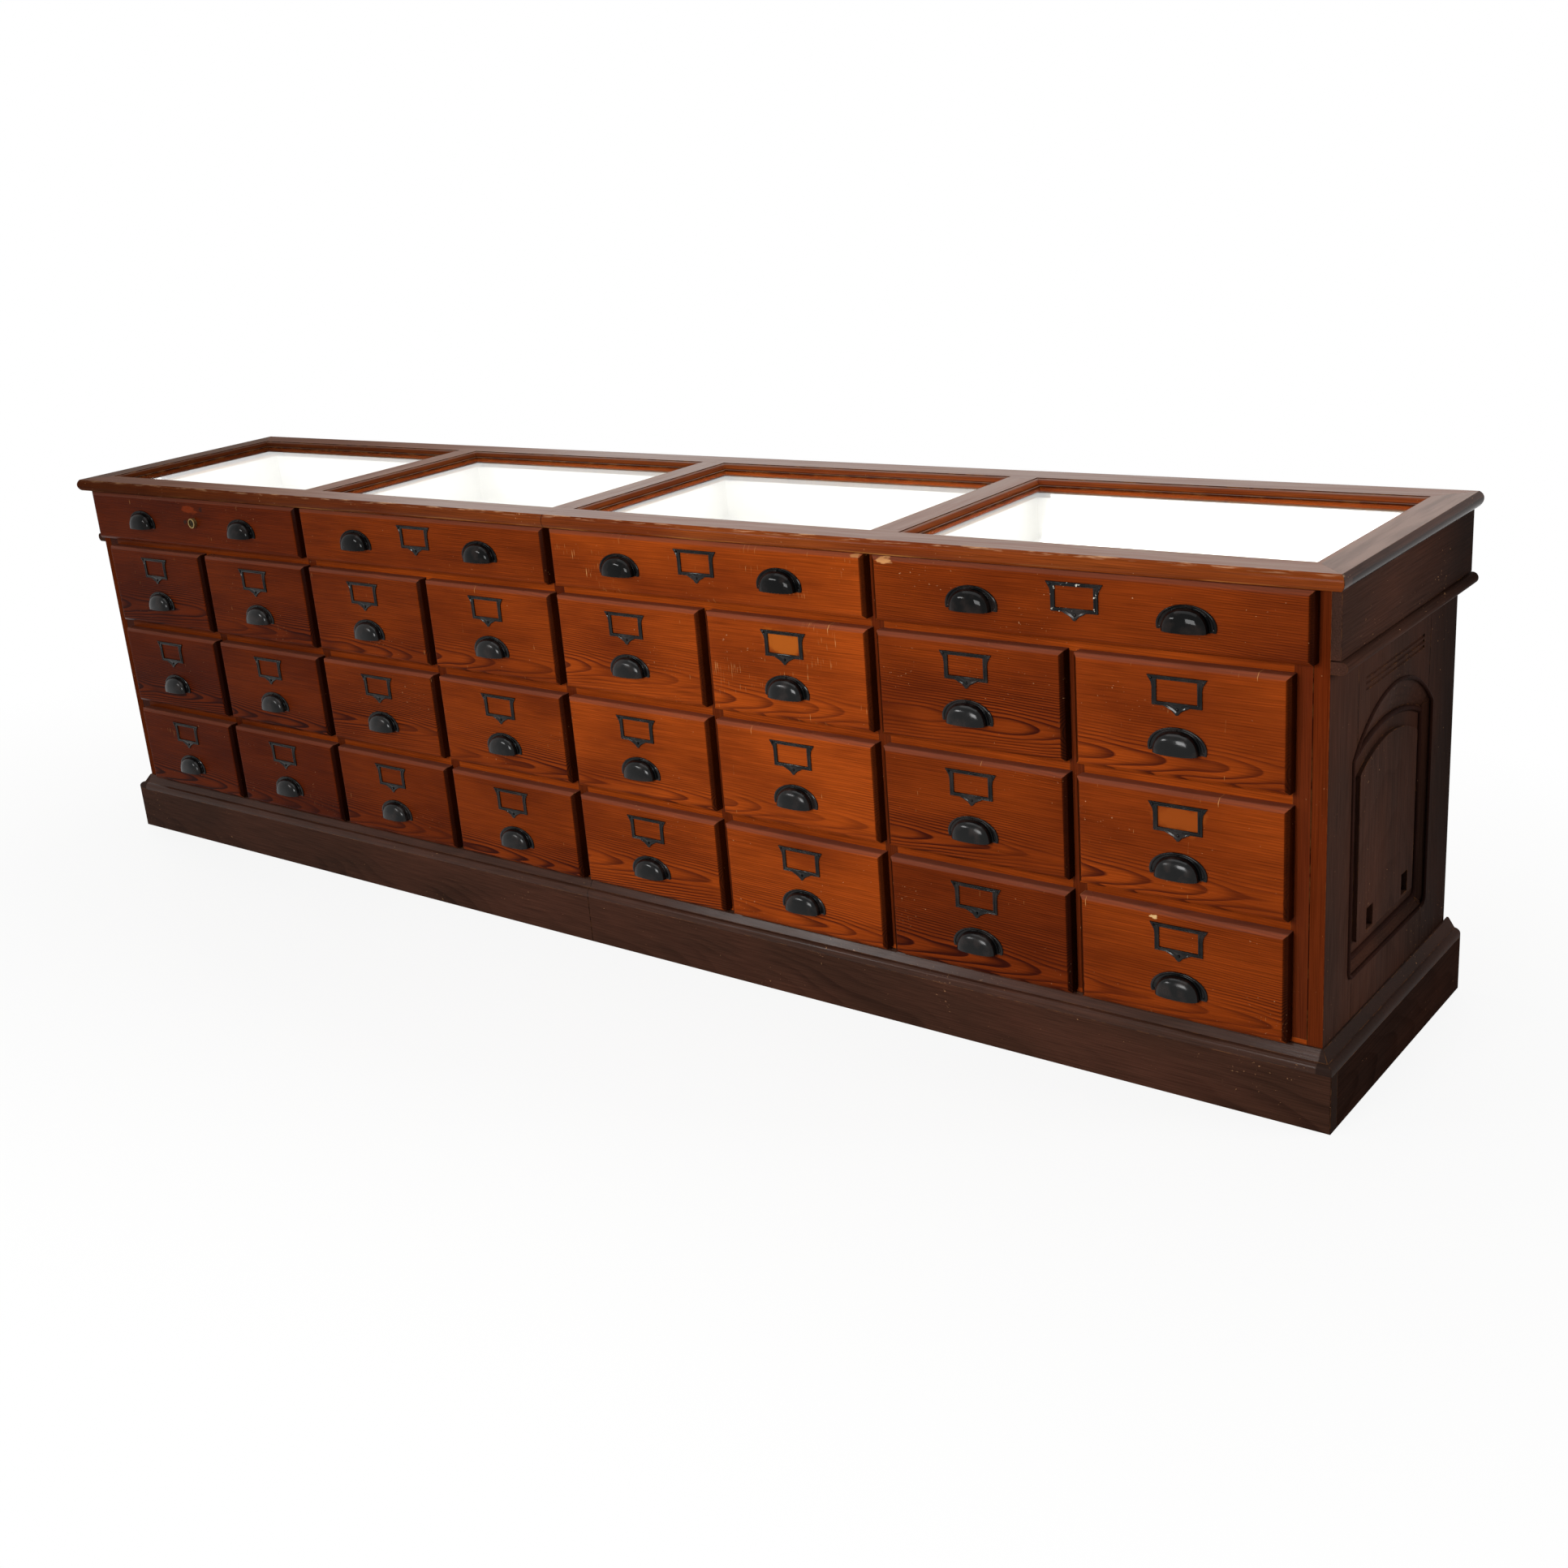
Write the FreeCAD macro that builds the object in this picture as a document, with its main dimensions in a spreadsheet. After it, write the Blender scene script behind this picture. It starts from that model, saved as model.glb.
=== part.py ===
import FreeCAD, Part
import Sketcher
import math
import os
import re

# A long haberdashery counter: four wide drawers over three rows of eight small ones,
# between panelled ends, on a plinth, under a glazed top made as two frames.
# Millimetres. The floor is z = 0, the length runs along x and the drawers open towards -y.
# Pieces are laid out from the carcass front, y = 0, and the origin is below the middle of the box.

COLUMNS = 8
ROWS = 3
WIDE_DRAWERS = 4
REEDS = 3
BACK_BOARDS = 8

SIZES = {
    # Grid of drawers and the wood between them
    "col_pitch": 361,
    "row_pitch": 200,
    "partition_thickness": 25,
    "rail_height": 28,
    "rail_depth": 40,
    "shelf_thickness": 25,
    "top_opening_height": 107,
    "dust_thickness": 8,
    # Drawer fronts
    "face_thickness": 24,
    "face_chamfer_width": 7,
    "face_chamfer_depth": 6,
    "face_lap": 4,
    "top_face_gap": 2,
    "top_face_end_gap": 16.5,
    # Drawer boxes
    "box_length": 500,
    "box_back_gap": 18,
    "box_side_thickness": 12,
    "box_bottom_thickness": 8,
    "box_bottom_rise": 8,
    "box_clearance": 1.5,
    "small_box_gap": 12,
    "top_box_gap": 11,
    "box_back_drop": 12,
    # Cup pulls
    "cup_width": 72,
    "cup_height": 36,
    "cup_projection": 24,
    "pull_wall": 2.5,
    "pull_side": 11.5,
    "pull_centre": 12,
    "pull_rise": 32,
    "pull_foot": 5,
    "pull_flange": 2.5,
    "pull_label_gap": 19,
    "top_pull_height": 31,
    "top_pull_spacing": 361,
    # Label holders
    "label_width": 80,
    "label_height": 46,
    "label_thickness": 3,
    "label_border_side": 7.5,
    "label_border": 6,
    "label_ear": 8,
    "label_ear_drop": 16,
    "label_pendant_width": 42,
    "label_pendant_drop": 13,
    "label_pendant_tip": 3,
    "small_label_drop": 19,
    "top_label_drop": 16,
    # Lock of the first wide drawer
    "lock_height": 58,
    "lock_barrel_wall": 2.42,
    "lock_barrel_reach": 8,
    "lock_plug_radius": 8.5,
    "lock_plug_sink": 2,
    "lock_key_width": 2.4,
    "lock_key_height": 9,
    "lock_key_depth": 12,
    "lock_running_gap": 0.08,
    "lock_fit_gap": 0.3,
    "lock_case_width": 60,
    "lock_case_gap": 5,
    "lock_case_drop": 24,
    "lock_wall": 4,
    "lock_bolt_thickness": 8,
    "lock_bolt_width": 20,
    "lock_bolt_gap": 9.5,
    "lock_throw": 12,
    "lock_mortise_gap": 1,
    # Carcass
    "lining_thickness": 27.5,
    "end_thickness": 24,
    "back_thickness": 12,
    "floor_thickness": 20,
    "bearer_thickness": 25,
    # Panelled ends
    "end_front_stile": 110,
    "end_rear_stile": 120,
    "end_foot": 87,
    "end_opening_rise": 32,
    "end_bevel_width": 15,
    "end_bevel_depth": 12,
    "end_head_bevel": 51,
    "end_head_rise": 75,
    "end_head_drop": 24,
    "panel_gap": 0.5,
    "field_margin": 30,
    "field_rise": 7,
    "slot_width": 27,
    "slot_height": 37,
    "slot_front_inset": 69.5,
    "slot_rear_inset": 53.5,
    "slot_rise": 34,
    "reed_radius": 2.5,
    "reed_pitch": 9,
    "reed_drop": 43,
    "reed_inset": 28,
    # Friezes and rounded mouldings on the ends
    "frieze_thickness": 15,
    "frieze_height": 105,
    "frieze_gap": 2,
    "frieze_back_reach": 16,
    "end_moulding_height": 19,
    "end_moulding_reach": 25,
    "end_moulding_back_reach": 20,
    # Plinth and its moulding
    "plinth_height": 97,
    "plinth_reach": 24,
    "plinth_back_reach": 16,
    "plinth_face_gap": 4,
    "moulding_height": 32,
    "moulding_fillet": 5,
    "moulding_bead": 10,
    "moulding_ledge": 3,
    # Glazed top
    "top_end_reach": 28,
    "top_front_reach": 28,
    "top_back_reach": 20,
    "rail_flat": 62,
    "bar_flat": 54,
    "ovolo_radius": 10,
    "ovolo_step": 1.5,
    "sight_step": 4,
    "lip_thickness": 2,
    "glass_bite": 8,
    "glass_gap": 1,
    "glass_thickness": 5,
    "bead_height": 6.5,
    "nose_spare": 3.5,
}

# Lengths worked out from the sizes above
DERIVED = {
    # Drawers and their openings
    "opening_width": "col_pitch - partition_thickness",
    "opening_height": "row_pitch - rail_height",
    "small_face_width": "opening_width + 2 * face_lap",
    "small_face_height": "opening_height + 2 * face_lap",
    "small_side_height": "opening_height - small_box_gap",
    "top_opening_width": "2 * col_pitch - partition_thickness",
    "top_face_width": "top_opening_width + 2 * face_lap",
    "top_face_height": "top_opening_height + face_lap - top_face_gap",
    "top_face_end_lap": "lining_thickness + end_thickness - face_lap - top_face_end_gap",
    "top_side_height": "top_opening_height - top_box_gap",
    "pull_width": "cup_width + 2 * pull_side",
    "small_label_height": "small_face_height - small_label_drop - label_height",
    "small_label_foot": "small_label_height - label_pendant_drop",
    "small_pull_height": "small_label_foot - pull_label_gap - pull_rise - pull_centre",
    "top_label_height": "top_face_height - top_label_drop - label_height",
    "plug_bore": "lock_plug_radius + lock_running_gap",
    "barrel_radius": "plug_bore + lock_barrel_wall",
    "barrel_hole": "barrel_radius + lock_fit_gap",
    "lock_case_top": "top_face_height - lock_case_gap",
    "lock_case_depth": "lock_bolt_thickness + 2 * lock_wall",
    # Levels
    "moulding_top": "plinth_height + moulding_height",
    "lowest_face_bottom": "moulding_top + plinth_face_gap",
    "floor_top": "lowest_face_bottom + face_lap",
    "floor_bottom": "floor_top - floor_thickness",
    "shelf_bottom": f"floor_top + {ROWS} * row_pitch - rail_height",
    "shelf_top": "shelf_bottom + shelf_thickness",
    "top_face_bottom": "shelf_top - face_lap",
    "carcass_height": "shelf_top + top_opening_height",
    "bead_top": "carcass_height + bead_height",
    "glass_top": "bead_top + glass_thickness",
    "lip_top": "glass_top + lip_thickness",
    "top_height": "lip_top + ovolo_radius + ovolo_step",
    # Length and depth
    "lining_start": f"{COLUMNS} / 2 * col_pitch - partition_thickness / 2",
    "inner_half": "lining_start + lining_thickness",
    "half_length": "inner_half + end_thickness",
    "half_top": "half_length + top_end_reach",
    "inner_depth": "box_length + box_back_gap",
    "carcass_depth": "inner_depth + back_thickness",
    "top_back": "carcass_depth + top_back_reach",
    "front_plane": "(face_thickness + cup_projection - top_back) / 2",
    # Ends
    "frieze_bottom": "carcass_height - frieze_height",
    "end_moulding_bottom": "frieze_bottom - frieze_gap - end_moulding_height",
    "reed_highest": "end_moulding_bottom - reed_drop",
    "end_head_top": f"reed_highest - {REEDS - 1} * reed_pitch - end_head_drop",
    "end_head_spring": "end_head_top - end_head_rise",
    "end_opening_spring": "end_head_top - end_head_bevel - end_opening_rise",
    "end_opening_low": "moulding_top + end_foot",
    "end_opening_width": "carcass_depth - end_front_stile - end_rear_stile",
    "end_opening_back": "carcass_depth - end_rear_stile",
    "end_middle": "(end_front_stile + end_opening_back) / 2",
    # Section of the glazed top
    "top_thickness": "top_height - carcass_height",
    "top_middle": "(top_height + carcass_height) / 2",
    "nose_radius": "top_thickness / 2 + nose_spare",
    "sight_width": "ovolo_radius + sight_step",
    "rebate_inset": "sight_width - glass_bite",
}

doc = FreeCAD.newDocument("haberdashery_cabinet")
sheet = doc.addObject("Spreadsheet::Sheet", "sizes")
for line, (alias, value) in enumerate(SIZES.items(), 1):
    sheet.set(f"A{line}", str(value))
    sheet.setAlias(f"A{line}", alias)
gauge = doc.addObject("App::VarSet", "gauge")
gauge.addProperty("App::PropertyFloat", "reading")
doc.recompute()

RIGHT = FreeCAD.Vector(1, 0, 0)
FORWARDS = FreeCAD.Vector(0, -1, 0)
UP = FreeCAD.Vector(0, 0, 1)

nodes = []


def size(text):
    """Write a formula for the sheet, with every named length spelt out."""
    def spell(match):
        word = match.group(0)
        if word in DERIVED:
            return f"({size(DERIVED[word])})"
        return f"sizes.{word}" if word in SIZES else word
    return re.sub(r"[a-z]\w*", spell, text)


def bind(item, formulas):
    for prop, text in formulas.items():
        item.setExpression(prop, size(text))
    return item


def read(formula):
    """The present value of a formula."""
    bind(gauge, {"reading": formula})
    gauge.recompute()
    return gauge.reading


def place(item, x="0", y="0", z="0"):
    return bind(item, {"Placement.Base.x": x, "Placement.Base.y": y, "Placement.Base.z": z})


def box(name, x, y, z):
    """A board between a low and a high limit along each axis."""
    item = doc.addObject("Part::Box", name)
    for prop, (low, high) in zip(("Length", "Width", "Height"), (x, y, z)):
        bind(item, {prop: f"({high}) - ({low})"})
    return place(item, x[0], y[0], z[0])


def wedge(name, y, near_x, near_z, far_x, far_z):
    """A block that tapers along y, from its near limits to its far ones."""
    item = doc.addObject("Part::Wedge", name)
    return bind(item, {
        "Ymin": y[0], "Ymax": y[1],
        "Xmin": near_x[0], "Xmax": near_x[1], "Zmin": near_z[0], "Zmax": near_z[1],
        "X2min": far_x[0], "X2max": far_x[1], "Z2min": far_z[0], "Z2max": far_z[1],
    })


def upright_wedge(name, z, y, low_x, high_x):
    """A plate that tapers upwards, from its low limits in x to its high ones."""
    thickness = (f"-({y[1]})", f"-({y[0]})")
    item = wedge(name, z, low_x, thickness, high_x, thickness)
    item.Placement.Rotation = FreeCAD.Rotation(RIGHT, 90)
    return item


def cylinder(name, axis, radius, along, x="0", y="0", z="0"):
    """A round bar from one limit to another along x or y."""
    item = doc.addObject("Part::Cylinder", name)
    bind(item, {"Radius": radius, "Height": f"({along[1]}) - ({along[0]})"})
    direction = {"x": RIGHT, "y": -FORWARDS}[axis]
    item.Placement.Rotation = FreeCAD.Rotation(UP, direction)
    start = {"x": x, "y": y, "z": z}
    start[axis] = along[0]
    return place(item, **start)


def join(name, items):
    item = doc.addObject("Part::MultiFuse", name)
    item.Shapes = items
    item.Refine = True
    return item


def cut(name, base, tool):
    item = doc.addObject("Part::Cut", name)
    item.Base = base
    item.Tool = tool
    return item


def common(name, base, tool):
    item = doc.addObject("Part::Common", name)
    item.Base = base
    item.Tool = tool
    return item


def mirror(source):
    """The same piece at the other end of the cabinet."""
    item = doc.addObject("Part::Mirroring", f"{source.Name}_mirrored")
    item.Source = source
    item.Normal = RIGHT
    return item


def moved(name, source, x="0", y="0", z="0"):
    item = doc.addObject("Part::Compound", name)
    item.Links = [source]
    return place(item, x, y, z)


def node(label, solids, x="0", z="0"):
    """One named sub-part of the cabinet, made of one or more separate solids."""
    item = doc.addObject("Part::Compound", label)
    item.Label = label
    item.Links = solids
    place(item, x, "front_plane", z)
    nodes.append(item)


def extrude(name, profile, direction, length):
    item = doc.addObject("Part::Extrusion", name)
    item.Base = profile
    item.DirMode = "Custom"
    item.Dir = direction
    item.Solid = True
    return bind(item, {"LengthFwd": length})


def sketch(name, along, x="0", y="0", z="0"):
    """An upright sketch with its first axis along a level direction and its second along z."""
    item = doc.addObject("Sketcher::SketchObject", name)
    item.Placement.Rotation = FreeCAD.Rotation(along, UP, along.cross(UP), "XYZ")
    return place(item, x, y, z)


def dimension(profile, name, formula, kind, *where):
    """A named driving constraint of a sketch, bound to the sheet."""
    index = profile.addConstraint(Sketcher.Constraint(kind, *where, read(formula)))
    profile.renameConstraint(index, name)
    bind(profile, {f"Constraints.{name}": formula})


def arch(name, x, width, low, spring, rise):
    """A straight-sided outline with a segmental head, in the plane of an end."""
    profile = sketch(name, -FORWARDS, x, "end_middle")
    head = f"(({width}) * ({width}) / 4 + ({rise}) * ({rise})) / (2 * ({rise}))"
    half, bottom, top, radius = read(width) / 2, read(low), read(spring), read(head)
    point = FreeCAD.Vector
    circle = Part.Circle(point(0, top + read(rise) - radius, 0), UP, radius)
    lean = math.asin(half / radius)
    profile.addGeometry(Part.LineSegment(point(-half, bottom, 0), point(half, bottom, 0)))
    profile.addGeometry(Part.LineSegment(point(half, bottom, 0), point(half, top, 0)))
    profile.addGeometry(Part.ArcOfCircle(circle, math.pi / 2 - lean, math.pi / 2 + lean))
    profile.addGeometry(Part.LineSegment(point(-half, top, 0), point(-half, bottom, 0)))
    for first, second in ((0, 1), (1, 2), (2, 3), (3, 0)):
        profile.addConstraint(Sketcher.Constraint("Coincident", first, 2, second, 1))
    profile.addConstraint(Sketcher.Constraint("Vertical", 1))
    profile.addConstraint(Sketcher.Constraint("Vertical", 3))
    profile.addConstraint(Sketcher.Constraint("Equal", 1, 3))
    profile.addConstraint(Sketcher.Constraint("Symmetric", 0, 1, 0, 2, -2))
    dimension(profile, "width", width, "DistanceX", 0, 1, 0, 2)
    dimension(profile, "low", low, "DistanceY", -1, 1, 0, 1)
    dimension(profile, "side", f"({spring}) - ({low})", "DistanceY", 1, 1, 1, 2)
    dimension(profile, "head", head, "Radius", 2)
    return profile


# Drawers, each laid out from the middle of its column and the bottom of its front

def drawer_front(name, left, right, height):
    """A thick front with its face chamfered all round."""
    seam = "face_chamfer_depth - face_thickness"
    margin = "face_chamfer_width"
    board = box(f"{name}_board", (left, right), (seam, "0"), ("0", height))
    face = wedge(
        f"{name}_face", ("-face_thickness", seam),
        (f"{left} + {margin}", f"{right} - {margin}"), (margin, f"{height} - {margin}"),
        (left, right), ("0", height),
    )
    return join(name, [board, face])


def drawer_box(name, opening, side_height):
    """Two sides, a back and a bottom, standing on the rail's level behind the front."""
    half = f"({opening} / 2 - box_clearance)"
    inner = f"({half} - box_side_thickness)"
    back_start = "box_length - box_side_thickness"
    side_top = f"face_lap + {side_height}"
    bottom = "face_lap + box_bottom_rise"
    along = ("0", "box_length")
    side = ("face_lap", side_top)
    across = (f"-{inner}", inner)
    return [
        box(f"{name}_side_left", (f"-{half}", f"-{inner}"), along, side),
        box(f"{name}_side_right", (inner, half), along, side),
        box(f"{name}_back", across, (back_start, "box_length"), (bottom, f"{side_top} - box_back_drop")),
        box(f"{name}_bottom", across, ("0", back_start), (bottom, f"{bottom} + box_bottom_thickness")),
    ]


def ellipsoid(name, trim):
    """The cup's round body, smaller by a trim all over."""
    item = doc.addObject("Part::Ellipsoid", name)
    return bind(item, {
        "Radius1": f"cup_height - {trim}",
        "Radius2": f"cup_width / 2 - {trim}",
        "Radius3": f"cup_projection - {trim}",
    })


def cup_pull():
    """A half-moon cup on a flat flange, open below; its back is y = 0 and its lip z = 0."""
    outline = doc.addObject("Part::Ellipse", "flange_outline")
    bind(outline, {"MajorRadius": "pull_width / 2", "MinorRadius": "pull_rise"})
    outline.Placement.Rotation = FreeCAD.Rotation(RIGHT, 90)
    place(outline, z="pull_centre")
    plate = extrude("flange_plate", outline, FORWARDS, "pull_flange")
    wide = ("-pull_width", "pull_width")
    ahead = ("-pull_width", "0")
    flange = common("flange", plate, box("flange_limit", wide, ahead, ("pull_foot", "pull_width")))
    cup_limit = box("cup_limit", wide, ahead, ("0", "pull_width"))
    bowl = common("cup_bowl", ellipsoid("cup_outside", "0"), cup_limit)
    return cut("cup_pull", join("cup_body", [flange, bowl]), ellipsoid("cup_inside", "pull_wall"))


def label_holder():
    """A frame with an open window, flared ears above and a pointed pendant below."""
    half = "label_width / 2"
    window_half = f"({half} - label_border_side)"
    deep = ("-label_thickness", "0")
    plate = box("label_plate", (f"-{half}", half), deep, ("0", "label_height"))
    ears = upright_wedge(
        "label_ears", ("label_height - label_ear_drop", "label_height"), deep,
        (f"-{half}", half), (f"-{half} - label_ear", f"{half} + label_ear"),
    )
    pendant = upright_wedge(
        "label_pendant", ("-label_pendant_drop", "0"), deep,
        ("-label_pendant_tip / 2", "label_pendant_tip / 2"),
        ("-label_pendant_width / 2", "label_pendant_width / 2"),
    )
    window = box(
        "label_window", (f"-{window_half}", window_half), ("-2 * label_thickness", "label_thickness"),
        ("label_border", "label_height - label_border"),
    )
    return cut("label_holder", join("label_body", [plate, ears, pendant]), window)


def lock_pieces():
    """A case with a barrel ahead of it, a plug that turns in the barrel, and a bolt that rises."""
    barrel_start = "-face_thickness - lock_barrel_reach"
    ahead = f"2 * ({barrel_start})"
    plug_start = f"{barrel_start} + lock_plug_sink"
    plug_end = "lock_case_depth - lock_wall"
    half_bolt = "lock_bolt_width / 2"
    bolt_low = "lock_height + lock_plug_radius + lock_bolt_gap"
    body = box(
        "lock_body", ("-lock_case_width / 2", "lock_case_width / 2"), ("0", "lock_case_depth"),
        ("lock_height - lock_case_drop", "lock_case_top"),
    )
    barrel = cylinder("lock_barrel", "y", "barrel_radius", (barrel_start, "lock_wall"), z="lock_height")
    bore = cylinder("lock_bore", "y", "plug_bore", (ahead, plug_end), z="lock_height")
    channel = box(
        "lock_channel", (f"-{half_bolt} - lock_fit_gap", f"{half_bolt} + lock_fit_gap"),
        ("lock_wall - lock_fit_gap", f"{plug_end} + lock_fit_gap"),
        (f"{bolt_low} - lock_fit_gap", "2 * lock_case_top"),
    )
    case = cut("lock_shell", join("lock_casting", [body, barrel]), join("lock_hollow", [bore, channel]))
    plug = cylinder(
        "lock_cylinder", "y", "lock_plug_radius", (plug_start, f"{plug_end} - lock_fit_gap"), z="lock_height"
    )
    keyway = box(
        "lock_keyway", ("-lock_key_width / 2", "lock_key_width / 2"),
        (ahead, f"{plug_start} + lock_key_depth"),
        ("lock_height - lock_key_height / 2", "lock_height + lock_key_height / 2"),
    )
    bolt_level = (bolt_low, "lock_case_top")
    bolt = box("lock_slide", (f"-{half_bolt}", half_bolt), ("lock_wall", plug_end), bolt_level)
    return {"lock_case": case, "lock_plug": cut("lock_turner", plug, keyway), "lock_bolt": bolt}


pull = cup_pull()
holder = label_holder()
half_small = "small_face_width / 2"
small_solids = [drawer_front("small_front", f"-{half_small}", half_small, "small_face_height")]
small_solids += drawer_box("small_box", "opening_width", "small_side_height")
small_solids.append(moved("small_pull", pull, y="-face_thickness", z="small_pull_height"))
small_solids.append(moved("small_label", holder, y="-face_thickness", z="small_label_height"))
for row in range(ROWS):
    for column in range(COLUMNS):
        node(
            f"drawer_row_{row + 1}_col_{column + 1}", small_solids,
            f"({column} - ({COLUMNS} - 1) / 2) * col_pitch",
            f"lowest_face_bottom + {ROWS - 1 - row} * row_pitch",
        )

wide_box = drawer_box("wide_box", "top_opening_width", "top_side_height")
wide_centres = [f"({index} - ({WIDE_DRAWERS} - 1) / 2) * 2 * col_pitch" for index in range(WIDE_DRAWERS)]
for number, centre in enumerate(wide_centres, 1):
    # The two outer fronts reach further over the cabinet's ends
    left_lap = "top_face_end_lap" if number == 1 else "0"
    right_lap = "top_face_end_lap" if number == WIDE_DRAWERS else "0"
    middle = f"({right_lap} - {left_lap}) / 2"
    wide_front = drawer_front(
        f"wide_front_{number}", f"-top_face_width / 2 - {left_lap}",
        f"top_face_width / 2 + {right_lap}", "top_face_height",
    )
    fittings = [
        moved(f"wide_pull_{number}_{side}", pull, f"{middle} + {sign} * top_pull_spacing / 2",
              "-face_thickness", "top_pull_height")
        for side, sign in (("left", -1), ("right", 1))
    ]
    # The first drawer has a lock where the others have a label holder
    if number == 1:
        through = ("-2 * face_thickness", "face_thickness")
        hole = cylinder("lock_hole", "y", "barrel_hole", through, z="lock_height")
        wide_front = cut("wide_front_locked", wide_front, hole)
    else:
        fittings.append(moved(f"wide_label_{number}", holder, middle, "-face_thickness", "top_label_height"))
    node(f"drawer_top_{number}", [wide_front] + wide_box, centre, "top_face_bottom")
    node(f"drawer_top_{number}_fittings", fittings, centre, "top_face_bottom")
for label, solid in lock_pieces().items():
    node(label, [solid], wide_centres[0], "top_face_bottom")

# Carcass: floor, partitions, shelves, rails and back between the ends

full_depth = ("0", "inner_depth")


def about(centre, width):
    """Limits at half a width either side of a centre."""
    return f"{centre} - {width} / 2", f"{centre} + {width} / 2"


node("carcass_floor", [
    box("floor_board", ("-inner_half", "inner_half"), full_depth, ("floor_bottom", "floor_top")),
])
node("floor_bearers", [
    box(f"bearer_{index}", about(f"({index} - {WIDE_DRAWERS} / 2) * 2 * col_pitch", "bearer_thickness"),
        full_depth, ("0", "floor_bottom"))
    for index in range(1, WIDE_DRAWERS)
])
# Every second partition stops under the shelf that carries the wide drawers
node("partitions", [
    box(f"partition_{index}", about(f"({index} - {COLUMNS} / 2) * col_pitch", "partition_thickness"),
        full_depth, ("floor_top", "shelf_bottom" if index % 2 else "carcass_height"))
    for index in range(1, COLUMNS)
])
lining = box("lining", ("lining_start", "inner_half"), full_depth, ("floor_top", "carcass_height"))
node("end_linings", [mirror(lining), lining])
node("top_shelves", [
    box(f"shelf_{index}", about(centre, "top_opening_width"), full_depth, ("shelf_bottom", "shelf_top"))
    for index, centre in enumerate(wide_centres)
])
rails = []
dust_boards = []
for level in range(1, ROWS):
    for column in range(COLUMNS):
        span = about(f"({column} - ({COLUMNS} - 1) / 2) * col_pitch", "opening_width")
        rail_top = f"floor_top + {level} * row_pitch"
        name = f"{level}_{column + 1}"
        rails.append(box(f"rail_{name}", span, ("0", "rail_depth"), (f"{rail_top} - rail_height", rail_top)))
        dust_boards.append(box(
            f"dust_{name}", span, ("rail_depth", "inner_depth"), (f"{rail_top} - dust_thickness", rail_top),
        ))
node("front_rails", rails)
node("dust_boards", dust_boards)
board_width = f"2 * inner_half / {BACK_BOARDS}"
node("back_boards", [
    box(
        f"back_{index + 1}",
        (f"-inner_half + {index} * {board_width}", f"-inner_half + {index + 1} * {board_width}"),
        ("inner_depth", "carcass_depth"), ("0", "carcass_height"),
    )
    for index in range(BACK_BOARDS)
])

# Panelled ends, made at the right and mirrored to the left

def end_frame():
    """Two stiles and two rails with a bevelled, arch-headed opening and reeds above it."""
    mouth = arch(
        "bevel_mouth", "half_length", "end_opening_width + 2 * end_bevel_width",
        "end_opening_low - end_bevel_width", "end_head_spring", "end_head_rise",
    )
    opening = ("end_opening_width", "end_opening_low", "end_opening_spring", "end_opening_rise")
    throat = arch("bevel_throat", "half_length - end_bevel_depth", *opening)
    bevel = doc.addObject("Part::Loft", "end_bevel")
    bevel.Sections = [throat, mouth]
    bevel.Solid = True
    bevel.Ruled = True
    hole = extrude("end_hole", arch("end_hole_outline", "inner_half", *opening), RIGHT, "end_thickness")
    reed_span = ("end_front_stile + reed_inset", "end_opening_back - reed_inset")
    reeds = [
        cylinder(f"reed_{index}", "y", "reed_radius", reed_span, x="half_length",
                 z=f"reed_highest - {index} * reed_pitch")
        for index in range(REEDS)
    ]
    tool = join("end_opening", [bevel, hole] + reeds)
    between_stiles = ("end_front_stile", "end_opening_back")
    boards = {
        "front_stile": (("0", "end_front_stile"), ("0", "carcass_height")),
        "rear_stile": (("end_opening_back", "carcass_depth"), ("0", "carcass_height")),
        "top_rail": (between_stiles, ("end_opening_spring", "carcass_height")),
        "bottom_rail": (between_stiles, ("0", "end_opening_low")),
    }
    return [
        cut(f"end_{name}", box(f"end_{name}_board", ("inner_half", "half_length"), y, z), tool)
        for name, (y, z) in boards.items()
    ]


def end_panel():
    """A panel inside the opening, with a raised field and two small slots near its foot."""
    board = extrude("panel_board", arch(
        "panel_outline", "inner_half", "end_opening_width - 2 * panel_gap", "end_opening_low + panel_gap",
        "end_opening_spring", "end_opening_rise - panel_gap",
    ), RIGHT, "end_thickness - end_bevel_depth")
    field = extrude("panel_field", arch(
        "field_outline", "half_length - end_bevel_depth", "end_opening_width - 2 * field_margin",
        "end_opening_low + field_margin", "end_opening_spring - field_margin", "end_opening_rise",
    ), RIGHT, "field_rise")
    starts = {
        "front": "end_front_stile + slot_front_inset",
        "rear": "end_opening_back - slot_rear_inset - slot_width",
    }
    slot_low = "end_opening_low + slot_rise"
    slots = [
        box(f"slot_{name}", ("inner_half - end_thickness", "half_length"), (start, f"{start} + slot_width"),
            (slot_low, f"{slot_low} + slot_height"))
        for name, start in starts.items()
    ]
    return cut("end_panel", join("panel_body", [board, field]), join("panel_slots", slots))


def end_moulding():
    """A projecting strip with a rounded nose."""
    radius = "end_moulding_height / 2"
    nose = f"half_length + end_moulding_reach - {radius}"
    along = ("0", "carcass_depth + end_moulding_back_reach")
    strip = box(
        "end_strip", ("half_length", nose), along,
        ("end_moulding_bottom", "end_moulding_bottom + end_moulding_height"),
    )
    round_edge = cylinder("end_strip_nose", "y", radius, along, x=nose, z=f"end_moulding_bottom + {radius}")
    return join("end_moulding", [strip, round_edge])


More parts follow.
